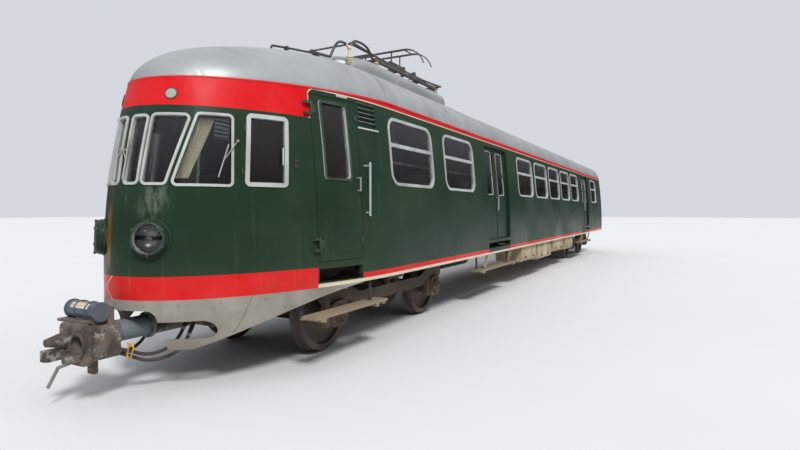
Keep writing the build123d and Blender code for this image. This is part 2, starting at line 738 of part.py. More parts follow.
lens_seat = 46.0
bezel = ring_solid([(barrel_radius - 6, -70), (headlight_radius + 3, -70), (headlight_radius + 3, 30),
                    (headlight_radius - 8, headlight_proud - 18), (headlight_radius - 26, headlight_proud),
                    (barrel_radius - 6, headlight_proud - 2)])
barrel = ring_solid([(0, -barrel_depth), (barrel_radius, -barrel_depth), (barrel_radius, headlight_proud - 10),
                     (headlight_glass + 2, headlight_proud - 10), (headlight_glass + 2, lens_seat),
                     (headlight_glass, lens_seat), (headlight_glass, -barrel_depth + 40),
                     (60, -barrel_depth + 8), (0, -barrel_depth + 8)])
lens_low = lens_seat + seat_gap
lens_radius = headlight_glass + 2 - seat_gap
lens_edge = lens_low + 6
dome_rise = 20.0
dome_radius = (lens_radius ** 2 + dome_rise ** 2) / (2 * dome_rise)
dome_half = math.asin(lens_radius / dome_radius) / 2
dome_middle = (dome_radius * math.sin(dome_half), lens_edge + dome_rise - dome_radius * (1 - math.cos(dome_half)))
lens = revolve(Plane.XZ * make_face([
    Line((0, lens_low), (lens_radius, lens_low)),
    Line((lens_radius, lens_low), (lens_radius, lens_edge)),
    ThreePointArc((lens_radius, lens_edge), dome_middle, (0, lens_edge + dome_rise)),
    Line((0, lens_edge + dome_rise), (0, lens_low))]), axis=Axis.Z)
lamps = []
for plane in lamp_planes:
    housing = (plane * bezel - nose_body(-seat_gap, up(1200), up(1760))) + plane * barrel
    lamps += [housing.solids().sort_by(SortBy.VOLUME)[-1], plane * lens]
save("headlights", lamps)

# Marker lamps: a white disc in a thin rim, let into the band above the windscreen
marker = ring_solid([(0, -45), (marker_radius - seat_gap, -45), (marker_radius - seat_gap, 4),
                     (marker_radius - 8, 9),
                     (marker_radius - 8, 2), (0, 6)])
save("marker_lamps", [plane * marker for plane in marker_planes])

# Footboards below the cab doors and the saloon doorways, with hangers and a recessed upper step
board_top = up(620)
board_thickness = 30.0
board_inner = 1215.0
board_outer = 1425.0
plank_width = 60.0
plank_gap = 15.0
hanger_width = 60.0
hanger_thickness = 14.0
gusset_thickness = 12.0


def board_planks(front, rear):
    """Three planks on cross battens."""
    piece = box_between(back(front + 60), back(front + 120), board_inner, board_outer,
                        board_top - board_thickness - 25, board_top - board_thickness)
    piece = piece + box_between(back(rear - 60), back(rear - 120), board_inner, board_outer,
                                board_top - board_thickness - 25, board_top - board_thickness)
    for index in range(3):
        y = board_inner + index * (plank_width + plank_gap)
        piece = piece + box_between(back(front), back(rear), y, y + plank_width,
                                    board_top - board_thickness, board_top)
    return piece


def hanger(distance, y, top):
    """Flat bar down from the floor and out under the planks."""
    low = board_top - board_thickness - 25 - hanger_thickness
    x = back(distance)
    upright = box_between(x - hanger_width / 2, x + hanger_width / 2, y, y + hanger_thickness, low, top)
    foot = box_between(x - hanger_width / 2, x + hanger_width / 2, y, board_outer, low, low + hanger_thickness)
    batten = box_between(x - hanger_width / 2, x + hanger_width / 2, board_inner, board_outer,
                         low + hanger_thickness, board_top - board_thickness)
    return upright + foot + batten


def gusset(distance):
    """Curved plate between the wall's lower edge and the footboard."""
    top = skirt_top
    inner = half_width - wall
    low = board_top
    plate = make_face([
        Line((inner, top), (half_width, top)),
        ThreePointArc((half_width, top), (half_width - 10, (top + low) / 2 + 40), (half_width - 60, low)),
        Line((half_width - 60, low), (inner - 60, low)),
        ThreePointArc((inner - 60, low), (inner - 15, (top + low) / 2 + 20), (inner, top)),
    ])
    return Pos(back(distance), 0, 0) * extrude(Plane.YZ * plate, amount=gusset_thickness)


boards = []
cab_board_front = 1270.0
cab_board_rear = 2740.0
cab_board = board_planks(cab_board_front, cab_board_rear)
for distance in (1400.0, 2500.0):
    cab_board = cab_board + hanger(distance, skin_y(distance, floor_low) - wall - 40, floor_low)
boards += both_sides(cab_board)
for start in doorway_fronts:
    front = start - 460
    rear = start + doorway_width + 370
    board = board_planks(front, rear)
    for distance in (start - 300, start + doorway_width + 230):
        board = board + hanger(distance, board_inner + 30, floor_low)
    for distance in (start - 60, start + doorway_width + 60):
        board = board + gusset(distance)
    boards += both_sides(board)
    tread = box_between(back(start + 5), back(start + doorway_width - 5), step_inner, half_width - wall - 1,
                        step_low - step_plate, step_low)
    riser = box_between(back(start + 5), back(start + doorway_width - 5), step_inner, step_inner + step_plate,
                        step_low, floor_low)
    boards += both_sides(tread + riser)
front = back(cab_door_front + step_margin)
rear = back(cab_door_rear - step_margin)
tread = box_between(front, rear, cab_step_inner, half_width, cab_step_low - step_plate, cab_step_low)
tread = tread & nose_body(wall + seat_gap, cab_step_low - 2 * step_plate, cab_step_low + step_plate)
riser = box_between(front, rear, cab_step_inner, cab_step_inner + step_plate, cab_step_low - step_plate,
                    floor_low)
boards += both_sides(tread + riser)
save("footboards", boards)

# Equipment boxes hung from the cross members
box_table = (
    # front, length, inner y, outer y, height of the bottom above the rail top
    (9300.0, 1400.0, 700.0, 1330.0, 520.0),
    (10850.0, 1550.0, 700.0, 1330.0, 460.0),
    (12600.0, 1500.0, 700.0, 1330.0, 540.0),
    (14300.0, 1400.0, 700.0, 1330.0, 500.0),
    (9300.0, 2100.0, -1330.0, -700.0, 500.0),
    (11900.0, 1800.0, -1330.0, -700.0, 460.0),
    (14250.0, 1500.0, -1330.0, -700.0, 540.0),
    (10800.0, 1500.0, -330.0, 330.0, 560.0),
)
hang_z = floor_low - 90
equipment = []
for front, length, y0, y1, low in box_table:
    casing = box_between(back(front), back(front + length), y0, y1, up(low), hang_z)
    equipment.append(fillet(casing.edges().filter_by(Axis.X).group_by(Axis.Z)[0], 40))
save("equipment_boxes", equipment)

# Air reservoirs in saddles under two cross members
reservoir_radius = 175.0
reservoir_z = up(690)
reservoir_length = 1500.0
reservoirs = []
for y in (205.0, -205.0):
    tank = Rotation(0, 90, 0) * Cylinder(reservoir_radius, reservoir_length)
    tank = fillet(tank.edges(), 70)
    tank = Pos(back(7650), y, reservoir_z) * tank
    for distance in (7000.0, 8300.0):
        tank = tank + box_between(back(distance) - 30, back(distance) + 30, y - 110, y + 110, reservoir_z,
                                  hang_z)
    reservoirs.append(tank)
save("air_reservoirs", reservoirs)

# Grab rails behind the cab doors
rail_u = 2330.0
rail_stand = 55.0
rail_y = skin_y(rail_u, up(1700)) + rail_stand
rail = rod((back(rail_u), rail_y, up(1680)), (back(rail_u), rail_y, up(2330)), 14)
for z in (up(1720), up(2290)):
    rail = rail + rod((back(rail_u), skin_y(rail_u, z) - 10, z), (back(rail_u), rail_y, z), 10)
rail = rail - nose_body(-seat_gap, up(1600), up(2400))
save("grab_rails", both_sides(rail))

# Windscreen wipers: pivot, arm and blade, by plan angle and height
wiper_table = (
    # pivot angle, pivot z, blade top angle, blade top z, blade low angle, blade low z
    (38.6, up(2440), 36.2, up(2400), 34.0, up(2070)),
    (0.6, up(2330), 3.4, up(2420), 2.4, up(2050)),
)
wiper_proud = 34.0
wipers = []
for pivot_angle, pivot_z, top_angle, top_z, low_angle, low_z in wiper_table:
    hub = nose_point(pivot_angle, pivot_z, wiper_proud)
    blade_top = nose_point(top_angle, top_z, wiper_proud)
    blade_low = nose_point(low_angle, low_z, wiper_proud)
    middle = nose_point((top_angle + low_angle) / 2, (top_z + low_z) / 2, wiper_proud)
    boss = rod(nose_point(pivot_angle, pivot_z, -10), nose_point(pivot_angle, pivot_z, wiper_proud + 9), 11)
    boss = boss - nose_body(-seat_gap, up(2000), up(2800))
    wiper = boss + rod(hub, middle, 5) + rod(blade_top, blade_low, 7)
    wipers += both_sides(wiper)
save("wipers", wipers)

# Wheelsets: axle and both wheels in one turned profile
wheel_radius = 475.0
flange_radius = wheel_radius + flange_depth
axle_z = flange_radius
back_to_back = 1360.0
wheel_inner = back_to_back / 2
tread_width = 135.0
axle_radius = 80.0
journal_radius = 65.0
journal_start = 890.0
journal_end = 1050.0
rim_inner_radius = wheel_radius - 75
hub_radius = 125.0
half_wheelset = [
    (0, 0), (axle_radius, 0), (axle_radius, wheel_inner - 30), (hub_radius, wheel_inner - 20),
    (hub_radius, wheel_inner + 50), (300, wheel_inner + 36), (rim_inner_radius - 10, wheel_inner + 50),
    (rim_inner_radius, wheel_inner), (flange_radius - 8, wheel_inner), (flange_radius, wheel_inner + 10),
    (flange_radius - 3, wheel_inner + 24), (wheel_radius + 4, wheel_inner + 36),
    (wheel_radius - 4, wheel_inner + tread_width), (rim_inner_radius, wheel_inner + tread_width),
    (rim_inner_radius - 10, wheel_inner + 80), (300, wheel_inner + 64), (hub_radius, wheel_inner + 80),
    (hub_radius, wheel_inner + 180), (axle_radius, wheel_inner + 190), (axle_radius, journal_start - 5),
    (journal_radius, journal_start - 5), (journal_radius, journal_end), (0, journal_end),
]
wheelset = revolve(make_face(Polyline(half_wheelset, close=True)), axis=Axis.Y)
wheelset = wheelset + mirror(wheelset, about=Plane.XZ)
half_wheelbase = 1400.0
number = 0
for pivot in bogie_pivots:
    for offset_x in (half_wheelbase, -half_wheelbase):
        number += 1
        save("wheelset_%d" % number, Pos(back(pivot) + offset_x, 0, axle_z) * wheelset)

# Bogie frames: swan-necked side frames with axleboxes, transoms and the sprung bolster
side_y = 940.0
side_thickness = 80.0
box_inner = 900.0
box_outer = 1060.0
axlebox_half = 150.0
side_outline = [
    (-1690, 790), (-1130, 790), (-900, 690), (900, 690), (1130, 790), (1690, 790), (1690, 660), (1640, 630),
    (1160, 630), (960, 520), (-960, 520), (-1160, 630), (-1640, 630), (-1690, 660),
]
bolster_half_width = 1070.0
bolster_half_depth = 210.0
bolster_bottom = up(770)
bolster_top = up(890)
transom_x = 340.0
spring_radius = 68.0
frame_line = Polyline([(x, up(z)) for x, z in side_outline], close=True)
side_face = make_face(frame_line)
side_face = fillet(side_face.vertices(), 24)
side_frame = extrude(Plane.XZ.offset(-side_y - side_thickness) * side_face, amount=side_thickness)
for x in (half_wheelbase, -half_wheelbase):
    block = box_between(x - axlebox_half, x + axlebox_half, box_inner, box_outer, axle_z - axlebox_half,
                        axle_z + axlebox_half)
    block = fillet(block.edges().filter_by(Axis.Y), 45)
    side_frame = side_frame + block
    for edge in (-1, 1):
        low_x = x + edge * (axlebox_half + 35)
        side_frame = side_frame + box_between(low_x - 45, low_x + 45, side_y, side_y + side_thickness,
                                              axle_z - axlebox_half + 10, up(700))
    bore = (Pos(x, (box_inner + journal_end) / 2, axle_z) * Rotation(90, 0, 0)
            * Cylinder(journal_radius + 1, journal_end + 5 - box_inner + 20))
    side_frame = side_frame - (Pos(0, -7.5, 0) * bore)
    cover = Pos(x, box_outer, axle_z) * Rotation(90, 0, 0) * Cylinder(105, 60)
    side_frame = side_frame + (cover & box_between(x - 200, x + 200, box_outer - 1, box_outer + 40, 0, 1200))
bogie = side_frame + mirror(side_frame, about=Plane.XZ)
for x in (transom_x, -transom_x):
    bogie = bogie + box_between(x - 60, x + 60, -side_y - 10, side_y + 10, up(540), up(670))
bolster = box_between(-bolster_half_depth, bolster_half_depth, -bolster_half_width, bolster_half_width,
                      bolster_bottom, bolster_top)
bolster = bolster + Pos(0, 0, (bolster_bottom + bolster_low - seat_gap) / 2) * Cylinder(200, bolster_low - seat_gap - bolster_bottom)
for x in (transom_x - 60, -transom_x + 60):
    side = 1 if x > 0 else -1
    bolster = bolster + box_between(x, x - side * 130, -300, 300, up(560), bolster_bottom)
bolster = bolster - Pos(0, 0, up(780)) * Cylinder(pivot_radius + 1, 400)
bogie = bogie + bolster

# Brake shoes on brackets, one inside each wheel
shoe_gap = 10.0
shoe_thickness = 45.0
shoe_half_angle = 19.0
shoe_y = (722.0, 800.0)
shoe_near = wheel_radius + shoe_gap
shoe_far = shoe_near + shoe_thickness
for x in (half_wheelbase, -half_wheelbase):
    inward = -1 if x > 0 else 1
    corners = []
    for radius in (shoe_near, shoe_far):
        row = []
        for angle in (-shoe_half_angle, 0, shoe_half_angle):
            turn = math.radians(angle)
            row.append((x + inward * radius * math.cos(turn), axle_z + radius * math.sin(turn)))
        corners.append(row)
    near, far = corners
    shoe_face = make_face([ThreePointArc(*near), Line(near[2], far[2]), ThreePointArc(*far),
                           Line(far[0], near[0])])
    shoe = extrude(Plane.XZ.offset(-shoe_y[1]) * shoe_face, amount=shoe_y[1] - shoe_y[0])
    bracket_x = x + inward * (shoe_far + 20)
    bracket = box_between(bracket_x - 30, bracket_x + 30, shoe_y[0], side_y + 10, axle_z + 40, axle_z + 110)
    bogie = bogie + both_sides(shoe + bracket)[0] + both_sides(shoe + bracket)[1]

# Secondary springs: coils in pairs between the side frame's dip and the bolster's end
coil_turns = 4
coil_low = up(690)
coil_pitch = (bolster_bottom - coil_low) / coil_turns
coil_points = [(0, coil_low)]
for turn in range(coil_turns):
    z = coil_low + turn * coil_pitch
    coil_points += [(spring_radius - 14, z), (spring_radius, z + coil_pitch * 0.25),
                    (spring_radius, z + coil_pitch * 0.65), (spring_radius - 14, z + coil_pitch * 0.9)]
coil_points += [(0, bolster_bottom)]
coil = revolve(Plane.XZ * make_face(Polyline(coil_points, close=True)), axis=Axis.Z)
for side in (1, -1):
    for x in (-125, 125):
        bogie = bogie + Pos(x, side * (side_y + side_thickness / 2), 0) * coil

# Traction motors hang between the transoms and the axles
motor_radius = 270.0
motor_x = 905.0
motor_half_length = 470.0
motor_body = Rotation(90, 0, 0) * Cylinder(motor_radius, 2 * motor_half_length)
motor = Pos(motor_x, 0, axle_z + 10) * fillet(motor_body.edges(), 40)
motor = motor + box_between(transom_x + 60, motor_x - 200, -150, 150, up(560), up(650))
motor = motor + box_between(motor_x + 200, half_wheelbase - axle_radius - 10, -380, -240, axle_z - 90,
                            axle_z + 90)
motor = motor + box_between(motor_x + 200, half_wheelbase - axle_radius - 10, 240, 380, axle_z - 90,
                            axle_z + 90)
for name, pivot in zip(("front", "rear"), bogie_pivots):
    save("bogie_frame_" + name, Pos(back(pivot), 0, 0) * bogie)
    save("traction_motors_" + name, [Pos(back(pivot), 0, 0) * motor,
                                     Pos(back(pivot), 0, 0) * mirror(motor, about=Plane.YZ)])

# Pantograph: insulators, base frame, folded diamond of equal arms, collector head
pan_u = 5050.0
pan_x = back(pan_u)
arm_length = 1370.0
pivot_spacing = 200.0
folded_angle = 3.0
insulator_x = 1100.0
insulator_y = 520.0
insulator_height = 75.0
beam_height = 45.0
pan_z = hump_top + insulator_height + beam_height + 55
arm_y = 420.0
upper_knee_y = 360.0
upper_head_y = 225.0
arm_radius = 17.0
upper_radius = 13.0
pivot_shaft_radius = 20.0
knee_shaft_radius = 14.0
head_shaft_radius = 12.0
head_plate_y = 265.0
fold = math.radians(folded_angle)
knee = (pivot_spacing + arm_length * math.cos(fold), arm_length * math.sin(fold))
top = (pivot_spacing, 2 * arm_length * math.sin(fold))


def ribbed_insulator(radius, height):
    """Cream insulator with three sheds."""
    points = [(0, 0), (radius * 0.75, 0)]
    for shed in range(3):
        z = height * (0.12 + 0.28 * shed)
        points += [(radius * 0.6, z), (radius, z + height * 0.06), (radius, z + height * 0.12),
                   (radius * 0.6, z + height * 0.2)]
    points += [(radius * 0.6, height), (0, height)]
    return revolve(Plane.XZ * make_face(Polyline(points, close=True)), axis=Axis.Z)


base = []
frame_low = hump_top + insulator_height
insulators = []
for x in (insulator_x, -insulator_x):
    for y in (insulator_y, -insulator_y):
        post = Pos(pan_x + x, y, hump_top) * ribbed_insulator(48, insulator_height)
        foot = Pos(pan_x + x, y, hump_top - 15) * Cylinder(44, 34) - hump
        insulators.append(post + foot)
base_frame = None
for y in (insulator_y, -insulator_y):
    beam = box_between(pan_x - insulator_x - 50, pan_x + insulator_x + 50, y - 28, y + 28, frame_low,
                       frame_low + beam_height)
    base_frame = beam if base_frame is None else base_frame + beam
for x in (insulator_x, 380, -380, -insulator_x):
    base_frame = base_frame + box_between(pan_x + x - 25, pan_x + x + 25, -insulator_y, insulator_y,
                                          frame_low, frame_low + beam_height - 8)
for x in (pivot_spacing, -pivot_spacing):
    for y in (insulator_y, -insulator_y):
        bearing = box_between(pan_x + x - 38, pan_x + x + 38, y - 24, y + 24, frame_low + beam_height - 5,
                              pan_z + 36)
        bearing = fillet(bearing.edges().filter_by(Axis.Y).group_by(Axis.Z)[-1], 30)
        hole = Pos(pan_x + x, y, pan_z) * Rotation(90, 0, 0) * Cylinder(pivot_shaft_radius + pin_gap, 60)
        base_frame = base_frame + (bearing - hole)
for piece in insulators:
    base_frame = base_frame + piece
save("pantograph_base", base_frame)


def cross_shaft(x, z, half, radius):
    return Pos(x, 0, z) * Rotation(90, 0, 0) * Cylinder(radius, 2 * half)


lower = cross_shaft(pivot_spacing, 0, insulator_y + 22, pivot_shaft_radius)
lower = lower + cross_shaft(knee[0], knee[1], arm_y + 20, knee_shaft_radius)
for y in (arm_y, -arm_y):
    lower = lower + rod((pivot_spacing, y, 0), (knee[0], y, knee[1]), arm_radius)
middle_x = pivot_spacing + 0.55 * (knee[0] - pivot_spacing)
lower = lower + cross_shaft(middle_x, 0.55 * knee[1], arm_y, 11)
upper = cross_shaft(top[0], top[1], head_plate_y + 12, head_shaft_radius)
eye_gap = 1.0
for side in (1, -1):
    start = (knee[0] - 18, side * upper_knee_y, knee[1] + 2)
    upper = upper + rod(start, (top[0], side * upper_head_y, top[1]), upper_radius)
    eye = Pos(knee[0], side * upper_knee_y, knee[1]) * Rotation(90, 0, 0) * Cylinder(knee_shaft_radius + 12, 30)
    upper = upper + eye
for side in (1, -1):
    hole = (Pos(knee[0], side * upper_knee_y, knee[1]) * Rotation(90, 0, 0)
            * Cylinder(knee_shaft_radius + eye_gap, 80))
    upper = upper - hole
half_way = ((knee[0] + top[0]) / 2, (upper_knee_y + upper_head_y) / 2, (knee[1] + top[1]) / 2)
upper = upper + cross_shaft(half_way[0], half_way[2], half_way[1], 9)
place = Pos(pan_x, 0, pan_z)
save("pantograph_lower_front", place * lower)
save("pantograph_lower_rear", place * mirror(lower, about=Plane.YZ))
save("pantograph_upper_front", place * upper)
save("pantograph_upper_rear", place * mirror(upper, about=Plane.YZ))

# Collector head: two strips whose horns curve down, on plates at the arms' top shafts
strip_x = 150.0
strip_width = 46.0
strip_thickness = 22.0
strip_flat = 520.0
horn_y = 880.0
horn_drop = 260.0
head_rise = 185.0
head_z = top[1] + head_rise


def strip_edge(z):
    """Half of the strip's curve from the middle to the horn's tip."""
    return [Line((0, z), (strip_flat, z)),
            ThreePointArc((strip_flat, z), (strip_flat + 0.58 * (horn_y - strip_flat), z - 0.24 * horn_drop),
                          (horn_y, z - horn_drop))]


strip_face = make_face(strip_edge(head_z) + [Line((horn_y, head_z - horn_drop),
                                                  (horn_y, head_z - horn_drop + strip_thickness)),
                       *strip_edge(head_z + strip_thickness),
                       Line((0, head_z), (0, head_z + strip_thickness))])
strip = extrude(Plane.YZ * strip_face, amount=strip_width)
strip = strip + mirror(strip, about=Plane.XZ)
head = Pos(strip_x - strip_width / 2, 0, 0) * strip + Pos(-strip_x - strip_width / 2, 0, 0) * strip
for side in (1, -1):
    y = side * head_plate_y
    plate = box_between(-pivot_spacing - 30, pivot_spacing + 30, y - 7, y + 7, top[1] - 28, top[1] + 28)
    plate = fillet(plate.edges().filter_by(Axis.Y), 20)
    for x in (strip_x, -strip_x):
        plate = plate + box_between(x - 12, x + 12, y - 7, y + 7, top[1], head_z + 4)
    for x, gap in ((pivot_spacing, pin_gap), (-pivot_spacing, 1.5)):
        plate = plate - Pos(x, y, top[1]) * Rotation(90, 0, 0) * Cylinder(head_shaft_radius + gap, 40)
    head = head + plate
    head = head + box_between(-strip_x, strip_x, side * (strip_flat - 15), side * (strip_flat + 5),
                              head_z + 2, head_z + 16)
save("pantograph_head", place * head)

def smooth_path(points):
    """Runs joined by tangent arcs, each as large as its two runs allow."""
    runs = [(Vector(*b) - Vector(*a)).length for a, b in zip(points, points[1:])]
    radii = []
    for index in range(1, len(points) - 1):
        before = Vector(*points[index]) - Vector(*points[index - 1])
        after = Vector(*points[index + 1]) - Vector(*points[index])
        turn = math.radians(before.get_angle(after))
        radii.append(0.45 * min(runs[index - 1], runs[index]) / math.tan(turn / 2))
    return FilletPolyline(points, radius=radii), radii


# Roof cable: conduit in clamps, then two arches over a standing insulator to the pantograph
def roof_skin_z(distance, y):
    ahead = max(0.0, nose_length - distance)
    drop = ahead * math.tan(math.radians(nose_droop))
    radius = math.hypot(ahead * half_width / (nose_length * tip_growth), y)
    if radius < crown_radius * math.sin(crown_angle):
        return crown_z + math.sqrt(crown_radius ** 2 - radius ** 2) - drop
    return shoulder_z + math.sqrt(shoulder_radius ** 2 - (radius - shoulder_y) ** 2) - drop


conduit_radius = 14.0
cable_radius = 18.0
conduit_lift = 52.0
conduit_points = [(1930.0, 220.0), (2200.0, 230.0), (2480.0, 260.0), (2700.0, 330.0), (2890.0, 420.0)]
route = [(back(u), y, roof_skin_z(u, y) + conduit_lift) for u, y in conduit_points]
start = (route[0][0], route[0][1], roof_skin_z(*conduit_points[0]) - conduit_radius)
conduit_path = FilletPolyline([start] + route, radius=30)
conduit = sweep(Plane(origin=start, z_dir=(0, 0, 1)) * Circle(conduit_radius), path=conduit_path)
conduit = conduit - nose_roof(-seat_gap)
for u, y in (conduit_points[1], conduit_points[3]):
    z = roof_skin_z(u, y)
    clamp = box_between(back(u) - 18, back(u) + 18, y - 24, y + 24, z - 25, z + conduit_lift + 18)
    conduit = conduit + (clamp - nose_roof(0))
post_u = 3100.0
post_y = 600.0
post_z = roof_skin_z(post_u, post_y)
post_height = 250.0
post = (Pos(back(post_u), post_y, post_z - 30) * Cylinder(50, 60)
        - straight_roof(0, nose_length, nose_length + 400))
post = post + Pos(back(post_u), post_y, post_z + 25) * ribbed_insulator(46, 120)
post = post + Pos(back(post_u), post_y, post_z + 25 + 120 + 45) * Cylinder(20, 90)
post_top = (back(post_u), post_y, post_z + post_height)
post = post + Pos(*post_top) * Sphere(32)
end_z = roof_skin_z(*conduit_points[-1]) + conduit_lift
arch_one = [route[-1], (back(2950), 450.0, up(4030)), (back(2985), 500.0, up(4110)),
            (back(3040), 560.0, up(4095)), post_top]
beam_end = pan_x + insulator_x + 50
beam_z = frame_low + beam_height / 2
arch_two = [post_top, (back(3230), 590.0, up(4175)), (back(3500), 570.0, up(4205)),
            (back(3700), 545.0, up(4180)), (beam_end + 60, insulator_y, beam_z),
            (beam_end + seat_gap, insulator_y, beam_z)]
for points in (arch_one, arch_two):
    path, radii = smooth_path(points)
    direction = Vector(*points[1]) - Vector(*points[0])
    post = post + sweep(Plane(origin=points[0], z_dir=direction) * Circle(cable_radius), path=path)
save("roof_cable", conduit + post)

# Automatic coupler: head with funnel and cone, shank, draft drum, electric drum on top, lever
coupler_z = up(550)
head_front = -390.0
head_rear = -80.0
head_half_width = 175.0
head_half_height = 165.0
cone_reach = 205.0
funnel_y = 75.0
cone_y = -85.0
shank_radius = 68.0
shank_rear = 1190.0
drum_radius = 80.0
head_block = box_between(back(head_front), back(head_rear), -head_half_width, head_half_width,
                         coupler_z - head_half_height, coupler_z + head_half_height)
head_block = fillet(head_block.edges().filter_by(Axis.X), 55)
face_plate = box_between(back(head_front) + 30, back(head_front) - 12, -head_half_width - 35,
                         head_half_width + 35,
                         coupler_z - head_half_height - 20, coupler_z + head_half_height + 20)
face_plate = fillet(face_plate.edges().filter_by(Axis.X), 70)
coupler = head_block + face_plate
facing = Plane(origin=(back(head_front) + 30, 0, coupler_z), x_dir=(0, 1, 0), z_dir=(1, 0, 0))
funnel = Cone(40, 96, 190, align=(Align.CENTER, Align.CENTER, Align.MAX))
coupler = coupler - facing * Pos(funnel_y, 0, 1) * funnel
rim = (Cylinder(116, 26, align=(Align.CENTER, Align.CENTER, Align.MIN))
       - Cylinder(92, 26, align=(Align.CENTER, Align.CENTER, Align.MIN)))
coupler = coupler + facing * Pos(funnel_y, 0, -6) * rim
cone = Cone(78, 34, cone_reach - 30, align=(Align.CENTER, Align.CENTER, Align.MIN))
coupler = coupler + facing * Pos(cone_y - 35, 30, -5) * cone
horn = box_between(back(head_front), back(-coupler_reach), -head_half_width - 45, -head_half_width + 75,
                   coupler_z - 140, coupler_z - 50)
coupler = coupler + fillet(horn.edges().filter_by(Axis.Z).group_by(Axis.X)[-1], 40)
lip = facing * Pos(funnel_y, -105, 0) * Box(90, 70, 120, align=(Align.CENTER, Align.CENTER, Align.MIN))
coupler = coupler + lip
coupler = coupler + rod((back(head_rear) + 20, 0, coupler_z), (back(shank_rear), 0, coupler_z), shank_radius)
coupler = coupler + rod((back(head_rear) + 10, 0, coupler_z + 40), (back(300), 0, coupler_z + 40), 105)
coupler = coupler + rod((back(300), 0, coupler_z + 40), (back(335), 0, coupler_z + 40), 132)
anchor = box_between(back(1040), back(1260), -190, 190, coupler_z - 110, floor_low - 90)
coupler = coupler + fillet(anchor.edges().filter_by(Axis.X).group_by(Axis.Z)[0], 40)
coupler = coupler + box_between(back(-320), back(-180), -120, 120, coupler_z + head_half_height - 5,
                                coupler_z + 235)
drum_z = coupler_z + 280
drum_x = back(-265)
coupler = coupler + rod((drum_x, -250, drum_z), (drum_x, 165, drum_z), drum_radius)
for y in (-258, -120, 40, 165):
    coupler = coupler + rod((drum_x, y, drum_z), (drum_x, y + 14, drum_z), drum_radius + 8)
tray = box_between(back(-395), back(-180), -290, 120, drum_z - drum_radius - 20, drum_z - drum_radius + 4)
coupler = coupler + tray
stay = box_between(back(-200), back(-140), 110, 170, coupler_z, drum_z + 30)
coupler = coupler + stay
lever_points = [(back(-330), -120, coupler_z - head_half_height - 5), (back(-380), -130, up(350)),
                (back(-470), -150, up(330)), (back(-540), -190, up(160))]
for first, second in zip(lever_points, lever_points[1:]):
    coupler = coupler + rod(first, second, 15)
for point in lever_points[1:-1]:
    coupler = coupler + Pos(*point) * Sphere(15)
latch = box_between(back(-260), back(-200), -60, 10, up(230), coupler_z - head_half_height + 5)
coupler = coupler + fillet(latch.edges().filter_by(Axis.Y).group_by(Axis.Z)[0], 22)
save("coupler", coupler)

# Air hoses sag from the coupler head to inclined pipes under the nose
hose_radius = 17.0
hose_rear = 560.0
pipe_radius = 22.0
hose_table = (
    # y at the head, z at the head, lowest z, y at the pipe, z at the pipe
    (130.0, up(455), up(330), 250.0, up(548)),
    (90.0, up(420), up(270), 330.0, up(488)),
    (-130.0, up(450), up(310), -260.0, up(528)),
)
hose_steps = (
    # share of the length along the car, share of the way across
    (0.18, 0.10),
    (0.42, 0.40),
    (0.72, 0.84),
    (0.91, 1.00),
)
hose_front = head_rear - 20
hose_limit = box_between(back(head_front), back(head_rear), -400, 400, 0, up(900))
pipes = []
for number, (y0, z0, sag_z, y1, z1) in enumerate(hose_table, 1):
    length = hose_rear - hose_front
    rise = z1 - sag_z
    heights = (z0 - 0.35 * (z0 - sag_z), sag_z, sag_z + 0.105 * rise, sag_z + 0.52 * rise)
    points = [(back(hose_front), y0, z0)]
    for (along, across), z in zip(hose_steps, heights):
        points.append((back(hose_front + along * length), y0 + across * (y1 - y0), z))
    points.append((back(hose_rear), y1, z1))
    path, radii = smooth_path(points)
    start_direction = Vector(*points[1]) - Vector(*points[0])
    hose = sweep(Plane(origin=points[0], z_dir=start_direction) * Circle(hose_radius), path=path)
    print("hose", number, "radii", [round(radius) for radius in radii], "volume over section times length",
          round(hose.volume / (math.pi * hose_radius ** 2 * path.length), 3))
    save("coupler_hose_%d" % number, hose - hose_limit)
    last = Vector(*points[-1])
    direction = (last - Vector(*points[-2])).normalized()
    pipe_end = last + direction * ((floor_low + 50 - z1) / direction.Z)
    pipe = rod(tuple(last), tuple(pipe_end), pipe_radius)
    pipes.append(pipe - box_between(back(0), back(2000), -600, 600, floor_low, floor_low + 200))
save("brake_pipes", pipes)

# Rear drawbar with its eye, under the gangway
drawbar_z = coupler_z
eye_radius = 30.0
eye_u = body_length + gangway_depth - 75
drawbar = rod((back(21350), 0, drawbar_z), (back(eye_u - 60), 0, drawbar_z), 60)
drawbar = drawbar + box_between(back(21290), back(21510), -190, 190, drawbar_z - 110, floor_low - 90)
drawbar_eye = Pos(back(eye_u), 0, drawbar_z) * Cylinder(75, 90)
drawbar_neck = box_between(back(eye_u - 90), back(eye_u), -60, 60, drawbar_z - 45, drawbar_z + 45)
drawbar = drawbar + drawbar_neck + drawbar_eye - Pos(back(eye_u), 0, drawbar_z) * Cylinder(eye_radius, 100)
save("rear_drawbar", drawbar)
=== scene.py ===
# %% [markdown]
# # A streamlined motor car, dressed in Blender
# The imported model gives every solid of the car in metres: +X points to the nose, +Y to the left side and
# +Z up. This lesson gives those solids their paint, rust and glass, adds the small things that the solids
# leave out, and sets up a plain studio.

# %% Load the car
import math

import bmesh
import bpy
from mathutils import Matrix, Vector


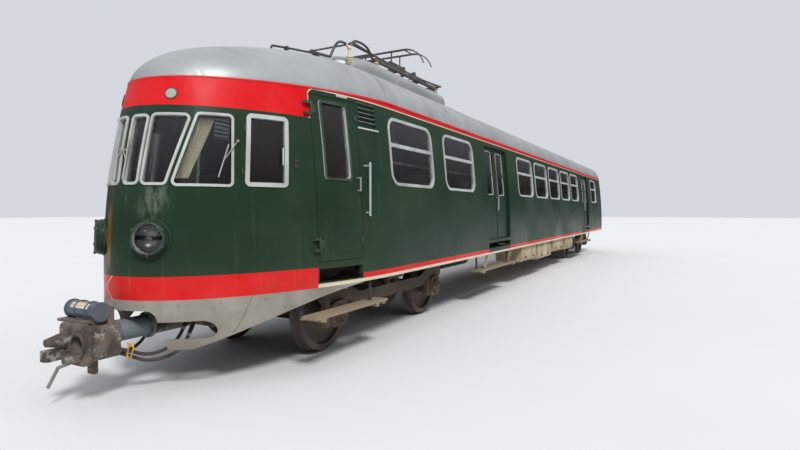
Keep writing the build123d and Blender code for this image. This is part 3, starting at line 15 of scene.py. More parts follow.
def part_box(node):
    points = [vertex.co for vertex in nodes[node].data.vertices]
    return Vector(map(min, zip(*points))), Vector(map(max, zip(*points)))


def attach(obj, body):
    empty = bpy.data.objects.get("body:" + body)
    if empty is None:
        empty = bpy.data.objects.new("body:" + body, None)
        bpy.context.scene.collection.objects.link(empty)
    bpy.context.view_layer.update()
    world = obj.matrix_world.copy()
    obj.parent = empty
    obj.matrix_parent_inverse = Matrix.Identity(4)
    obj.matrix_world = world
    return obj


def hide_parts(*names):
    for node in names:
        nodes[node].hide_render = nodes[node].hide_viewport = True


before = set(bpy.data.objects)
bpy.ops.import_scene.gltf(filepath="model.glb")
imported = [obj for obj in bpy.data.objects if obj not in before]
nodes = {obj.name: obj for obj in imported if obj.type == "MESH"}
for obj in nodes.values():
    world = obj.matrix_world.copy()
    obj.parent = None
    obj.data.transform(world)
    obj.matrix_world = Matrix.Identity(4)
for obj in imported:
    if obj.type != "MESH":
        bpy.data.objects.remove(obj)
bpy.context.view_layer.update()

# %% [markdown]
# The body's skin is a half oval in plan at the nose, with walls that lean in above the floor line. Pieces
# that lie on that skin need its shape, so a few sizes are read from the solids and the same curve is
# written once as a function. Guessing offsets by eye would leave gaps when the car changes.

# %% Measure the skin
wall_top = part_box("side_wall_left")[1]
nose_base, half_width, gutter = wall_top
gutter_half_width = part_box("roof")[1].y
rear_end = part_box("rear_end_wall")[0].x
nose_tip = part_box("front_skirt")[1].x
nose_length = nose_tip - nose_base
nose_droop = math.radians(2.5)
rail_top = 0.028
lean_start = rail_top + 1.122
lean_drop = half_width - gutter_half_width
lean_radius = ((gutter - lean_start) ** 2 + lean_drop ** 2) / (2 * lean_drop)


def back(u):
    """Place along the car, at a distance behind the nose tip."""
    return nose_tip - u


def up(height):
    """Height above the rail's top."""
    return rail_top + height


def middle_x(name):
    """Middle of a solid's box along the car."""
    low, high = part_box(name)
    return (low.x + high.x) / 2


def on_side(point, side):
    """A point of the left side, or its mirror image where side is -1."""
    return Vector((point.x, side * point.y, point.z))


def wall_y(z, proud=0.0):
    """Half-width of the skin at a height."""
    if z <= lean_start:
        return half_width + proud
    return half_width - lean_radius + math.sqrt((lean_radius + proud) ** 2 - (z - lean_start) ** 2)


def nose_point(angle, z, proud=0.0):
    """Point on the nose at a plan angle, 0 straight ahead and 90 where the straight wall starts."""
    stretch = (nose_length + proud) / (half_width + proud)
    turn = math.radians(angle)
    radius = wall_y(z, proud)
    return Vector((nose_base + radius * stretch * math.cos(turn), radius * math.sin(turn), z))


def skin_y(x, z, proud=0.0):
    """Side distance of the left skin at a place along the car."""
    if x <= nose_base:
        return wall_y(z, proud)
    across = (x - nose_base) * half_width / nose_length
    return math.sqrt(wall_y(z, proud) ** 2 - across ** 2)


def gutter_drop(x):
    """How far the gutter has dipped ahead of the straight walls."""
    return max(0.0, x - nose_base) * math.tan(nose_droop)


print("nose tip", round(nose_tip, 3), "gutter height", round(gutter, 3))

# %% [markdown]
# Every finish is a small network of nodes. Written out in full, such networks hide what they do, so one
# class holds a material and offers short words for the few nodes used here: a product, a smooth step, a
# band, one colour over another, a stretched noise and a bump. All patterns read Object coordinates, and
# because every object sits at the origin, those are simply metres on the car. Colours are written as they
# look on a screen, from 0 to 255.

# %% A material and its short words
def srgb(red, green, blue):
    """A screen colour, 0 to 255, as the linear colour that shaders use."""
    shares = [level / 255 for level in (red, green, blue)]
    return (*(share / 12.92 if share <= 0.04045 else ((share + 0.055) / 1.055) ** 2.4
              for share in shares), 1.0)


class Finish:
    """One material with short ways to add nodes to it."""

    def __init__(self, name, roughness=0.5, metallic=0.0):
        self.material = bpy.data.materials.new(name)
        self.material.use_nodes = True
        self.tree = self.material.node_tree
        self.shader = self.tree.nodes["Principled BSDF"]
        self.set("Roughness", roughness)
        self.set("Metallic", metallic)
        self.place = self.node("TexCoord").outputs["Object"]
        parts = self.node("SeparateXYZ")
        self.feed(parts.inputs[0], self.place)
        self.x, self.y, self.z = parts.outputs

    def node(self, kind):
        return self.tree.nodes.new("ShaderNode" + kind)

    def feed(self, socket, value):
        """Links another node's output, or sets a number or a screen colour."""
        if isinstance(value, bpy.types.NodeSocket):
            self.tree.links.new(value, socket)
        else:
            is_colour = isinstance(value, tuple) and len(value) == 3
            socket.default_value = srgb(*value) if is_colour else value

    def set(self, name, value):
        """Sets or links an input of the shader."""
        self.feed(self.shader.inputs[name], value)

    def maths(self, operation, first, second=0.0):
        node = self.node("Math")
        node.operation = operation
        self.feed(node.inputs[0], first)
        self.feed(node.inputs[1], second)
        return node.outputs[0]

    def times(self, first, *others):
        """Product of shares and numbers. It is 1 only where every share is 1."""
        for other in others:
            first = self.maths("MULTIPLY", first, other)
        return first

    def either(self, first, second):
        return self.maths("MAXIMUM", first, second)

    def opposite(self, share):
        return self.maths("SUBTRACT", 1.0, share)

    def past(self, value, start):
        """How far a value lies beyond a start, and 0 before it."""
        return self.maths("MAXIMUM", self.maths("SUBTRACT", value, start), 0.0)

    def away(self, value, middle):
        """Distance of a value from a middle, to either side."""
        return self.maths("ABSOLUTE", self.maths("SUBTRACT", value, middle))

    def rise(self, value, low, high):
        """0 before low and 1 after high, smooth between. With low above high it falls."""
        node = self.node("MapRange")
        node.interpolation_type = "SMOOTHSTEP"
        self.feed(node.inputs["Value"], value)
        node.inputs["From Min"].default_value = low
        node.inputs["From Max"].default_value = high
        return node.outputs[0]

    def band(self, value, low, high, soft=0.003):
        """1 between low and high."""
        upward = self.rise(value, low - soft, low + soft)
        return self.times(upward, self.rise(value, high + soft, high - soft))

    def over(self, base, colour, *shares):
        """A colour laid over a base, as much as the product of the shares says."""
        node = self.node("Mix")
        node.data_type = "RGBA"
        self.feed(node.inputs[0], self.times(*shares))
        self.feed(node.inputs[6], base)
        self.feed(node.inputs[7], colour)
        return node.outputs[2]

    def noise(self, scale, stretch=(1.0, 1.0, 1.0), detail=4.0, roughness=0.55):
        """Cloudy pattern from 0 to 1. A stretch below 1 draws it out along that axis."""
        mapping = self.node("Mapping")
        mapping.inputs["Scale"].default_value = stretch
        self.feed(mapping.inputs[0], self.place)
        node = self.node("TexNoise")
        self.feed(node.inputs["Vector"], mapping.outputs[0])
        for name, value in (("Scale", scale), ("Detail", detail), ("Roughness", roughness)):
            node.inputs[name].default_value = value
        return node.outputs[0]

    def patches(self, scale, low, high, **pattern):
        """Noise that is 0 below one level and 1 above another."""
        return self.rise(self.noise(scale, **pattern), low, high)

    def colour(self, value):
        self.set("Base Color", value)

    def roughness(self, share, smooth, rough):
        """Roughness between two levels, as a share says."""
        node = self.node("MapRange")
        self.feed(node.inputs["Value"], share)
        node.inputs["To Min"].default_value = smooth
        node.inputs["To Max"].default_value = rough
        self.set("Roughness", node.outputs[0])

    def bump(self, height, distance, strength=1.0):
        """Heights in metres are the noise's share times the distance. Calls add up."""
        node = self.node("Bump")
        node.inputs["Strength"].default_value = strength
        node.inputs["Distance"].default_value = distance
        self.feed(node.inputs["Height"], height)
        normal = self.shader.inputs["Normal"]
        if normal.is_linked:
            self.feed(node.inputs["Normal"], normal.links[0].from_socket)
        self.feed(normal, node.outputs[0])

# %% [markdown]
# The livery is dark green with broad red bands round the nose and a thin red and cream stripe along the
# sides. One could cut the skin into coloured faces, but a real painter masks bands by height, and a band
# of a coordinate does the same without touching a mesh. Old paint is never even: it fades in patches,
# rain draws streaks down it, brown dust climbs from the track, and old dents make the reflections wave.
# The nose also has a few marks of its own, at given places.

# %% The livery
BODY_GREEN = (28, 48, 33)
FADED_GREEN = (47, 66, 49)
BAND_RED = (200, 12, 20)
FADED_RED = (204, 36, 38)
STRIPE_CREAM = (206, 196, 172)
STEP_RECESS_SHADE = (24, 23, 22)
TRACK_DUST = (112, 94, 74)
DARK_GRIME = (26, 28, 24)
RUN_BROWN = (128, 92, 38)
DEEP_RUST = (88, 48, 28)
CHALK = (150, 156, 144)

band_rear = back(1.54)
stripe_front = back(2.26)
upper_band = (up(2.775), gutter + 0.02)
lower_band = (up(0.88), up(1.115))
side_red = (up(0.93), up(0.995))
side_cream = (up(0.88), up(0.93))
edge_line = 0.014
corner_radius = 0.10
sharp = 0.002
doorways = (6.76, 17.26)
doorway_width = 1.40


def painted_bands(finish, green, red):
    """The red bands round the nose, with a round corner, and the stripes along the sides."""
    at_nose = finish.rise(finish.x, band_rear - sharp, band_rear + sharp)
    behind_nose = finish.rise(finish.x, band_rear + sharp, band_rear - sharp)
    lower = finish.times(finish.band(finish.z, *lower_band), at_nose)
    ahead = finish.past(finish.x, band_rear - corner_radius)
    above = finish.past(finish.z, gutter - gutter_drop(band_rear) - corner_radius)
    from_corner = finish.maths("SQRT", finish.maths(
        "ADD", finish.maths("POWER", ahead, 2.0), finish.maths("POWER", above, 2.0)))
    upper = finish.times(finish.rise(from_corner, corner_radius - sharp, corner_radius + sharp),
                         finish.band(finish.z, *upper_band, soft=sharp))
    line_start = corner_radius - edge_line
    edge = (finish.rise(from_corner, line_start, line_start + 2 * sharp),
            finish.band(finish.z, upper_band[0] - edge_line / 2, upper_band[1], soft=sharp),
            finish.rise(finish.x, band_rear + 0.05, band_rear + 0.02))
    colour = finish.over(green, STRIPE_CREAM, *edge)
    colour = finish.over(colour, red, finish.either(upper, lower))
    at_doors = finish.either(*(finish.band(finish.x, back(front + doorway_width), back(front))
                               for front in doorways))
    at_red = finish.band(finish.z, *side_red)
    striped = finish.times(finish.rise(finish.x, stripe_front + sharp, stripe_front - sharp),
                           finish.opposite(at_doors))
    colour = finish.over(colour, red, at_red, striped)
    # Where the side stripe stops at the doorways, the band is painted black: painted shade of the step recess
    # below the doors.
    colour = finish.over(colour, STEP_RECESS_SHADE, at_red, behind_nose, finish.opposite(striped))
    return finish.over(colour, STRIPE_CREAM, finish.band(finish.z, *side_cream), behind_nose)


def nose_marks(finish, colour):
    """A brown run, a pale crease in the lower band and chalky smears, all near the tip."""
    run_y, run_z = (-0.20, -0.11), (1.24, 2.02)
    chalky_y, chalky_z = (0.26, 0.46), (1.72, 2.04)
    crease_y, crease_z, slant = (-0.232, -0.212), 1.03, -1.3
    at_tip = finish.rise(finish.x, back(0.35), back(0.30))
    worn = finish.patches(9.0, 0.30, 0.62, stretch=(1.0, 1.0, 0.25), detail=6.0)
    colour = finish.over(colour, RUN_BROWN, finish.band(finish.y, *run_y, soft=0.015),
                         finish.band(finish.z, *run_z, soft=0.06), at_tip, worn, 0.85)
    bend = finish.times(finish.away(finish.z, crease_z), slant)
    crease = finish.band(finish.maths("ADD", finish.y, bend), *crease_y, soft=0.005)
    colour = finish.over(colour, STRIPE_CREAM, crease, at_tip, finish.band(finish.z, *lower_band), 0.7)
    smears = finish.patches(15.0, 0.40, 0.66, stretch=(1.0, 1.0, 0.4), detail=7.0, roughness=0.7)
    return finish.over(colour, CHALK, finish.band(finish.y, *chalky_y, soft=0.08),
                       finish.band(finish.z, *chalky_z, soft=0.10),
                       finish.rise(finish.x, back(0.6), back(0.5)), smears, 0.32)


def weathering(finish, colour, streak, dust_height, dust_share):
    """Adds pale and dark rain streaks, track dust and small rust spots to a colour."""
    rain = finish.patches(13.0, 0.54, 0.78, stretch=(1.0, 1.0, 0.04), detail=7.0, roughness=0.75)
    streaks = finish.times(rain, finish.patches(1.3, 0.35, 0.65, detail=3.0), streak)
    colour = finish.over(colour, CHALK, streaks)
    runs = finish.patches(11.0, 0.55, 0.78, stretch=(1.0, 1.0, 0.08), detail=5.0, roughness=0.65)
    colour = finish.over(colour, DARK_GRIME, runs, streak)
    colour = finish.over(colour, TRACK_DUST, finish.rise(finish.z, dust_height, 0.75),
                         finish.patches(2.2, 0.30, 0.75), dust_share)
    spots = finish.patches(26.0, 0.70, 0.76, detail=7.0, roughness=0.7)
    return finish.over(colour, DEEP_RUST, spots, 0.6), streaks


def livery_finish():
    """Green skin with red bands round the nose and a stripe along the sides."""
    finish = Finish("green_and_red_livery")
    finish.set("Specular IOR Level", 0.15)
    fade = finish.times(finish.patches(0.9, 0.35, 0.75, detail=5.0), 0.5)
    green = finish.over(BODY_GREEN, FADED_GREEN, fade)
    red = finish.over(BAND_RED, FADED_RED, finish.patches(3.0, 0.35, 0.8))
    colour = nose_marks(finish, painted_bands(finish, green, red))
    colour, streaks = weathering(finish, colour, streak=0.16, dust_height=1.35, dust_share=0.3)
    finish.colour(colour)
    finish.roughness(finish.maths("ADD", streaks, fade), 0.30, 0.72)
    finish.bump(finish.noise(1.6, detail=2.0), 0.012, 0.5)
    finish.bump(finish.noise(90.0, detail=3.0), 0.0006, 0.6)
    return finish


livery = livery_finish()

# %% [markdown]
# The other painted metal differs in colour, dirt and rust, but ages in the same way, so one function
# makes them all and takes how dirty, how rusty and how rough each one is. The roof gets soot instead of
# track dust, because it lies above the dust and below the sparks of the contact strip.

# %% Paint for the other pieces
def painted(name, colour, worn, dirt=0.3, rust=0.3, rough=0.55, grime=TRACK_DUST):
    """Old paint: fades to the worn colour, gathers dirt, and rusts in spots and patches."""
    finish = Finish(name)
    base = finish.over(colour, worn, finish.patches(2.6, 0.3, 0.75, detail=6.0))
    cloud = finish.patches(4.0, 0.42, 0.75, stretch=(1.0, 1.0, 0.4), detail=7.0, roughness=0.65)
    base = finish.over(base, grime, cloud, dirt)
    rusty = finish.patches(14.0, 0.60, 0.72, stretch=(1.0, 1.0, 0.5), detail=8.0, roughness=0.7)
    finish.colour(finish.over(base, DEEP_RUST, rusty, rust))
    finish.roughness(finish.either(cloud, rusty), rough, min(rough + 0.3, 0.95))
    finish.bump(finish.noise(60.0, detail=6.0), 0.0008, 0.8)
    return finish


def worn_and_highlit_casting():
    """Bare casting: brown rust, orange where water sits, and pale steel patches that are partly worn metal
    and partly painted highlights.
    """
    finish = Finish("rusty_coupler")
    base = finish.over((62, 54, 48), (102, 92, 82), finish.patches(5.0, 0.35, 0.65, detail=6.0))
    orange = finish.patches(11.0, 0.52, 0.66, stretch=(1.0, 1.0, 0.5), detail=8.0, roughness=0.7)
    base = finish.over(base, (124, 78, 50), orange, 0.4)
    # Pale patches: worn steel and painted highlights on the casting.
    worn = finish.patches(7.0, 0.56, 0.64, detail=8.0, roughness=0.7)
    finish.colour(finish.over(base, (152, 150, 144), worn, 0.8))
    finish.roughness(worn, 0.78, 0.45)
    finish.bump(finish.noise(60.0, detail=6.0), 0.0015, 0.8)
    return finish


def roof_finish():
    """Aluminium paint, with soot that gathers round the pantograph and runs down the sides."""
    finish = Finish("silver_roof", metallic=0.25)
    base = finish.over((158, 161, 161), (141, 144, 144), finish.patches(1.1, 0.3, 0.75, detail=5.0))
    runs = finish.patches(6.0, 0.5, 0.78, stretch=(1.0, 0.25, 0.25), detail=6.0, roughness=0.65)
    base = finish.over(base, (108, 102, 94), runs, 0.2)
    near_hump = finish.rise(finish.away(finish.x, middle_x("roof_hump")), 4.5, 1.0)
    soot = finish.patches(2.4, 0.35, 0.7, detail=6.0)
    base = finish.over(base, (96, 84, 76), near_hump, soot, 0.22)
    rusty = finish.patches(20.0, 0.68, 0.74, detail=7.0, roughness=0.7)
    finish.colour(finish.over(base, DEEP_RUST, rusty, 0.5))
    finish.roughness(runs, 0.42, 0.7)
    finish.bump(finish.noise(1.2, detail=2.0), 0.015, 0.5)
    return finish


skirt_paint = painted("silver_cream_skirt", (146, 142, 132), (122, 118, 108), dirt=0.4, rust=0.45)
box_paint = painted("cream_boxes", (184, 170, 140), (150, 132, 104), dirt=0.55, rust=0.5)
frame_paint = painted("white_window_frames", (180, 183, 180), (156, 158, 154), dirt=0.25, rust=0.12)
saloon_frame_paint = painted("cream_window_frames", (176, 180, 178), (150, 154, 152), rust=0.12)
bogie_paint = painted("dusty_bogie", (92, 78, 62), (66, 52, 42), dirt=0.6, rust=0.6, rough=0.75)
under_paint = painted("dark_underframe", (52, 48, 44), (40, 36, 32), dirt=0.55, rust=0.4, rough=0.75)
coupler_paint = worn_and_highlit_casting()
drum_paint = painted("blue_drum", (62, 70, 84), (86, 94, 104), dirt=0.35, rust=0.25, rough=0.4)
tube_paint = painted("blue_grey_tube", (112, 122, 128), (92, 98, 100), dirt=0.4, rust=0.35)
pantograph_paint = painted("dark_pantograph", (74, 68, 66), (98, 92, 88), rust=0.4, grime=(40, 36, 34))
desk_paint = painted("grey_desk", (148, 152, 150), (132, 136, 132), dirt=0.15, rust=0.03)
wheel_paint = painted("wheel_steel", (84, 70, 60), (62, 52, 46), dirt=0.5, rust=0.7, rough=0.6)
ceiling_paint = painted("ivory_ceiling", (208, 202, 186), (196, 188, 170), dirt=0.1, rust=0.0)
roof_paint = roof_finish()

# %% [markdown]
# Glass, rubber, wood, cloth and insulator glaze are not paint. Glass is clear with a faint green tint and
# a little dirt. Rubber is black and dull. The footboards are grey weathered planks whose grain runs along
# the car, and the seats wear a worn green-brown cloth with a fine weave in its bump.

# %% Glass, rubber, wood, cloth and glaze
def grained(name, rough, first, second, *grain, bump=0.0, strength=1.0, **pattern):
    """Two colours mixed by one noise, whose grain can also stand out of the surface."""
    finish = Finish(name, roughness=rough)
    noise = finish.noise(*grain, **pattern)
    finish.colour(finish.over(first, second, noise))
    if bump:
        finish.bump(noise, bump, strength)
    return finish


glass = Finish("window_glass")
glass.colour((218, 222, 219))
glass.set("Transmission Weight", 1.0)
glass.set("IOR", 1.45)
glass.roughness(glass.patches(5.0, 0.45, 0.8, detail=6.0), 0.02, 0.12)

rubber = grained("black_rubber", 0.7, (26, 26, 26), (58, 54, 50), 18.0, detail=6.0)
rubber.bump(rubber.noise(150.0), 0.0006, 0.6)
planks = grained("footboard_wood", 0.8, (104, 88, 70), (158, 142, 118), 40.0, (0.05, 1.0, 1.0),
                 detail=7.0, roughness=0.7, bump=0.0015, strength=0.8)
varnish = grained("varnished_panels", 0.35, (92, 58, 32), (146, 98, 56), 26.0, (1.0, 1.0, 0.06),
                  detail=6.0, roughness=0.65, bump=0.0005, strength=0.5)
cable_black = grained("black_cable", 0.45, (42, 44, 46), (74, 76, 76), 30.0)

cloth = Finish("seat_cloth", roughness=0.9)
cloth.set("Sheen Weight", 0.3)
weave = cloth.noise(420.0, detail=2.0)
worn_green = cloth.over((74, 82, 66), (104, 100, 80), cloth.patches(6.0, 0.3, 0.75))
cloth.colour(cloth.over(worn_green, (40, 42, 36), weave, 0.4))
cloth.bump(weave, 0.0008, 0.7)

glaze = Finish("cream_insulator_glaze", roughness=0.25)
glaze.colour(glaze.over((214, 200, 168), (108, 92, 74), glaze.patches(24.0, 0.45, 0.75, detail=6.0), 0.6))

# %% [markdown]
# Each solid of the frame now gets its finish. A table of names and finishes is easier to read and to
# change than a line for each of the many nodes, and the last lines show at once if one was forgotten.

# %% Give each solid its finish
def named(start):
    """Names of the nodes that start with a word."""
    return [name for name in nodes if name.startswith(start)]


finish_of = {
    livery: ["cab_shell", "side_wall_left", "side_wall_right", "rear_end_wall", "louvre_panels",
             "headlights", *named("cab_door"), *named("door_")],
    skirt_paint: ["front_skirt"],
    box_paint: ["equipment_boxes"],
    frame_paint: ["windscreen_frames", "marker_lamps", "grab_rails"],
    saloon_frame_paint: ["window_frames"],
    bogie_paint: [*named("bogie_frame"), *named("traction_motors")],
    under_paint: ["underframe", "air_reservoirs", "rear_drawbar", "brake_pipes"],
    coupler_paint: ["coupler"],
    pantograph_paint: named("pantograph_"),
    desk_paint: ["driver_desk"],
    wheel_paint: named("wheelset_"),
    roof_paint: ["roof", "roof_hump"],
    glass: ["windscreen_glass", "window_glass"],
    rubber: ["gangway", "wipers", *named("coupler_hose_")],
    planks: ["footboards"],
    varnish: ["interior_partitions"],
    cloth: ["saloon_seats", "driver_seat"],
    cable_black: ["roof_cable"],
}
for finish, names in finish_of.items():
    for name in names:
        materials = nodes[name].data.materials
        materials.clear()
        materials.append(finish.material)
finished = {name for names in finish_of.values() for name in names}
print("without a finish:", sorted(set(nodes) - finished))

# %% [markdown]
# Some solids carry more than one finish: a door leaf holds its pane, a headlight its lens, and the
# pantograph's base its insulators. Their faces can be told apart by where they lie, so a helper walks
# over a node's faces and gives a second finish to those that pass a test on their centre and direction.

# %% Second finishes by place
def repaint(name, finish, test):
    """Gives a second finish to a node's faces whose centre and direction pass the test."""
    mesh = nodes[name].data
    mesh.materials.append(finish.material)
    slot = len(mesh.materials) - 1
    count = 0
    for face in mesh.polygons:
        if test(face.center, face.normal):
            face.material_index = slot
            count += 1
    print(name, finish.material.name, "faces", count)


def depth(center):
    """How far under the body's skin a face lies. Proud pieces come out below zero."""
    return skin_y(center.x, center.z) - abs(center.y)


def is_pane(center, normal, low, high):
    """Whether a face is one of a pane's two big ones, between two depths."""
    return low < depth(center) < high and abs(normal.y) > 0.6


def in_window(center):
    """Whether a face belongs to the cab door's window or to the reveal round it."""
    return back(2.104) < center.x < back(1.666) and up(2.086) < center.z < up(3.004)


# Pale trim paint for handles, wipers, racks and clamps, also used as a painted highlight inside the headlight
# bezels.
bright_metal_and_highlight = painted("bright_trim_and_highlight", (168, 170, 166), (132, 134, 128), rust=0.15, rough=0.35)
green_metal = painted("green_fittings", BODY_GREEN, FADED_GREEN, rough=0.45)
dark_metal = painted("dark_handles", (58, 58, 56), (40, 38, 36))
lever_grey = painted("grey_lever", (138, 138, 134), (104, 102, 98), rust=0.25)
# Near-black paint that stands for the shade in the step recesses.
step_recess_shade = painted("painted_step_shade", STEP_RECESS_SHADE, (38, 34, 30), dirt=0.4, rust=0.2, rough=0.8)
wall_lining = painted("dark_wall_lining", (70, 58, 42), (58, 48, 36), dirt=0.2, rust=0.0)
floor_lino = painted("brown_lino", (76, 56, 42), (58, 46, 38), dirt=0.4, rust=0.0, rough=0.6)

lining_depth = 0.036
cab_pane, leaf_pane, leaf_outside = (0.019, 0.031), (0.072, 0.084), 0.050
handle_x, hinge_x = back(2.185), back(1.545)
handle_span, hinge_heights = (up(1.96), up(2.16)), (up(2.88), up(1.37))
for name in ("cab_door_left", "cab_door_right"):
    repaint(name, wall_lining, lambda c, n: depth(c) > lining_depth)
    repaint(name, green_metal, lambda c, n: in_window(c))
    # The window reveal is pale only on its faces that look forward or up, and green on the rest: painted
    # light and shade by direction.
    repaint(name, saloon_frame_paint, lambda c, n: in_window(c) and (n.x > 0.5 or n.z > 0.5))
    repaint(name, glass, lambda c, n: in_window(c) and is_pane(c, n, *cab_pane))
    repaint(name, bright_metal_and_highlight, lambda c, n: abs(c.x - handle_x) < 0.035
            and handle_span[0] < c.z < handle_span[1] and depth(c) < -0.004)
for name in ("cab_shell", "cab_door_left", "cab_door_right"):
    repaint(name, green_metal, lambda c, n: abs(c.x - hinge_x) < 0.10 and depth(c) < -0.0008
            and any(abs(c.z - height) < 0.09 for height in hinge_heights))
# Every recessed face of the louvres that looks up is painted pale: a painted highlight on the slat tops and
# the sill.
repaint("louvre_panels", saloon_frame_paint, lambda c, n: depth(c) > 0.001 and n.z > 0.25)
for name in named("door_"):
    repaint(name, glass, lambda c, n: is_pane(c, n, *leaf_pane))
    repaint(name, bright_metal_and_highlight, lambda c, n: depth(c) < leaf_outside)

# %% [markdown]
# Walls and roof are painted outside only. Seen through the windows they carry a dark varnished lining and
# an ivory ceiling, and the floor is brown lino. A face of the shell is an inside face when its normal
# points towards the middle of the car, so the direction alone tells the two apart.

# %% Linings, ceiling and floor
roof_axis = up(2.6)
floor_line = up(1.16)


def faces_inwards(center, normal):
    """Whether a face of the shell looks towards the middle of the car."""
    outward = Vector((center.x - min(center.x, nose_base), center.y, 0.0))
    return outward.length > 0.01 and normal.dot(outward.normalized()) < -0.5


for name in ("cab_shell", "side_wall_left", "side_wall_right"):
    repaint(name, wall_lining, lambda c, n: faces_inwards(c, n) and c.z > floor_line)
    repaint(name, under_paint, lambda c, n: faces_inwards(c, n) and c.z <= floor_line)
repaint("roof", ceiling_paint,
        lambda c, n: n.dot(Vector((0.0, c.y, c.z - roof_axis)).normalized()) < -0.4)
repaint("underframe", floor_lino, lambda c, n: n.z > 0.9 and c.z > floor_line + 0.005)

# %% [markdown]
# The lamps, insulators, contact strips, drum, lever and steps are each part of a larger solid too. The
# headlight's faces are told apart by their distance from the lamp's own axis. It stands square on the nose,
# so one function works it out from the skin, and the headlight's trim uses the same axis further on.

# %% Lamps, insulators, strips and steps
headlight_y, headlight_z = 0.36, up(1.48)


def lamp_axis(side):
    """Centre of a headlight on the skin, and the direction that it looks."""
    turn = math.asin(headlight_y / wall_y(headlight_z))
    rise = headlight_z - lean_start
    lean = rise / math.sqrt(lean_radius ** 2 - rise ** 2)
    point = nose_point(math.degrees(turn), headlight_z)
    ahead = math.cos(turn) * half_width / nose_length
    return on_side(point, side), Vector((ahead, side * math.sin(turn), lean)).normalized()


def in_lamp(center, widest, low, high):
    """Whether a place lies round its headlight's axis, between two heights along it."""
    point, direction = lamp_axis(1 if center.y > 0 else -1)
    reach = center - point
    height = reach.dot(direction)
    return (reach - height * direction).length <= widest and low <= height <= high


bezel_inside, lens = (0.1525, -0.2, 0.0705), (0.1345, 0.0455, 0.09)
# The pale inside of each bezel is a painted highlight round the green ring of the glass.
repaint("headlights", bright_metal_and_highlight, lambda c, n: in_lamp(c, *bezel_inside))
repaint("headlights", glass, lambda c, n: in_lamp(c, *lens))

glaze_x = middle_x("pantograph_base")
hump_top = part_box("roof_hump")[1].z
repaint("pantograph_base", glaze, lambda c, n: abs(abs(c.x - glaze_x) - 1.10) < 0.05
        and abs(abs(c.y) - 0.52) < 0.05 and hump_top + 0.001 < c.z < hump_top + 0.074)
cable_post = Vector((back(3.10), 0.60))
cable_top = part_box("roof_cable")[1].z
repaint("roof_cable", glaze, lambda c, n: (c.xy - cable_post).length < 0.05 and c.z < cable_top - 0.14)
carbon = painted("carbon_strips", (46, 46, 48), (70, 70, 72), dirt=0.2, rust=0.0, rough=0.5)
strip_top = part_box("pantograph_head")[1].z
repaint("pantograph_head", carbon, lambda c, n: c.z > strip_top - 0.012 and n.z > 0.3)

coupler_z = up(0.55)
tube_z = coupler_z + 0.04
drum = Vector((back(-0.265), coupler_z + 0.28))
repaint("coupler", drum_paint, lambda c, n: (c.xz - drum).length < 0.09)
repaint("coupler", tube_paint, lambda c, n: math.hypot(c.y, c.z - tube_z) < 0.134
        and back(0.34) < c.x < back(-0.075))
repaint("coupler", lever_grey, lambda c, n: c.z < coupler_z - 0.172 and c.x > back(-0.30))

board_top, step_top = up(0.622), up(0.90)
repaint("footboards", under_paint, lambda c, n: c.z > board_top)
repaint("footboards", box_paint,
        lambda c, n: board_top < c.z < step_top and abs(c.y) > half_width - 0.08)
# The upper steps are painted black as painted shade of the step recess.
repaint("footboards", step_recess_shade, lambda c, n: c.z > step_top)

marker_glass = painted("marker_disc", (176, 176, 164), (150, 148, 136), dirt=0.4, rust=0.1, rough=0.3)
marker_point = nose_point(16.4, up(2.89))
repaint("marker_lamps", dark_metal, lambda c, n: True)
repaint("marker_lamps", marker_glass,
        lambda c, n: (Vector((c.x, abs(c.y), c.z)) - marker_point).length < 0.052)
repaint("wipers", bright_metal_and_highlight, lambda c, n: True)

# %% [markdown]
# Everything that is new is built with bmesh operators. A few helpers keep that short: one makes a box with
# soft edges, others a round bar, a bar bent to a ring and a bolt head on its washer, and one turns a
# finished bmesh into an object that rides on its body and carries its finish. Normals are made to
# agree before the mesh is written.

# %% Helpers for new pieces
def ordered(first, second):
    """Two opposite corners of a box as its lowest and its highest one."""
    return tuple(zip(*(sorted(pair) for pair in zip(first, second))))


def add_box(bm, low, high, edge=0.0, place=None):
    """Box between two opposite corners, with its edges bevelled."""
    low, high = ordered(low, high)
    verts = bmesh.ops.create_cube(bm, size=1.0)["verts"]
    bmesh.ops.scale(bm, vec=[b - a for a, b in zip(low, high)], verts=verts)
    bmesh.ops.translate(bm, vec=[(a + b) / 2 for a, b in zip(low, high)], verts=verts)
    if place is not None:
        bmesh.ops.transform(bm, matrix=place, verts=verts)
    if edge:
        edges = list({line for vert in verts for line in vert.link_edges})
        bmesh.ops.bevel(bm, geom=edges, offset=edge, segments=2, affect="EDGES", profile=0.5, material=-1)


def pointing(start, direction):
    """Placement whose Z runs along a direction."""
    turn = Vector(direction).to_track_quat("Z", "Y").to_matrix().to_4x4()
    return Matrix.Translation(start) @ turn


def add_rod(bm, start, end, radius, sides=12):
    """Round bar between two points."""
    start, end = Vector(start), Vector(end)
    bmesh.ops.create_cone(bm, cap_ends=True, segments=sides, radius1=radius, radius2=radius,
                          depth=(end - start).length, matrix=pointing((start + end) / 2, end - start))


def add_chain(bm, points, radius, sides=12):
    """Round bars from each point to the next."""
    for start, end in zip(points, points[1:]):
        add_rod(bm, start, end, radius, sides)


def add_bolt(bm, point, direction, size):
    """Six-sided head on a round washer."""
    direction = Vector(direction).normalized()
    washer, head = (12, 1.35, 1.3, 0.3, 0.1), (6, 1.0, 0.92, 0.8, 0.6)
    for sides, low_radius, high_radius, thickness, height in (washer, head):
        bmesh.ops.create_cone(bm, cap_ends=True, segments=sides, radius1=size * low_radius,
                              radius2=size * high_radius, depth=size * thickness,
                              matrix=pointing(Vector(point) + direction * size * height, direction))


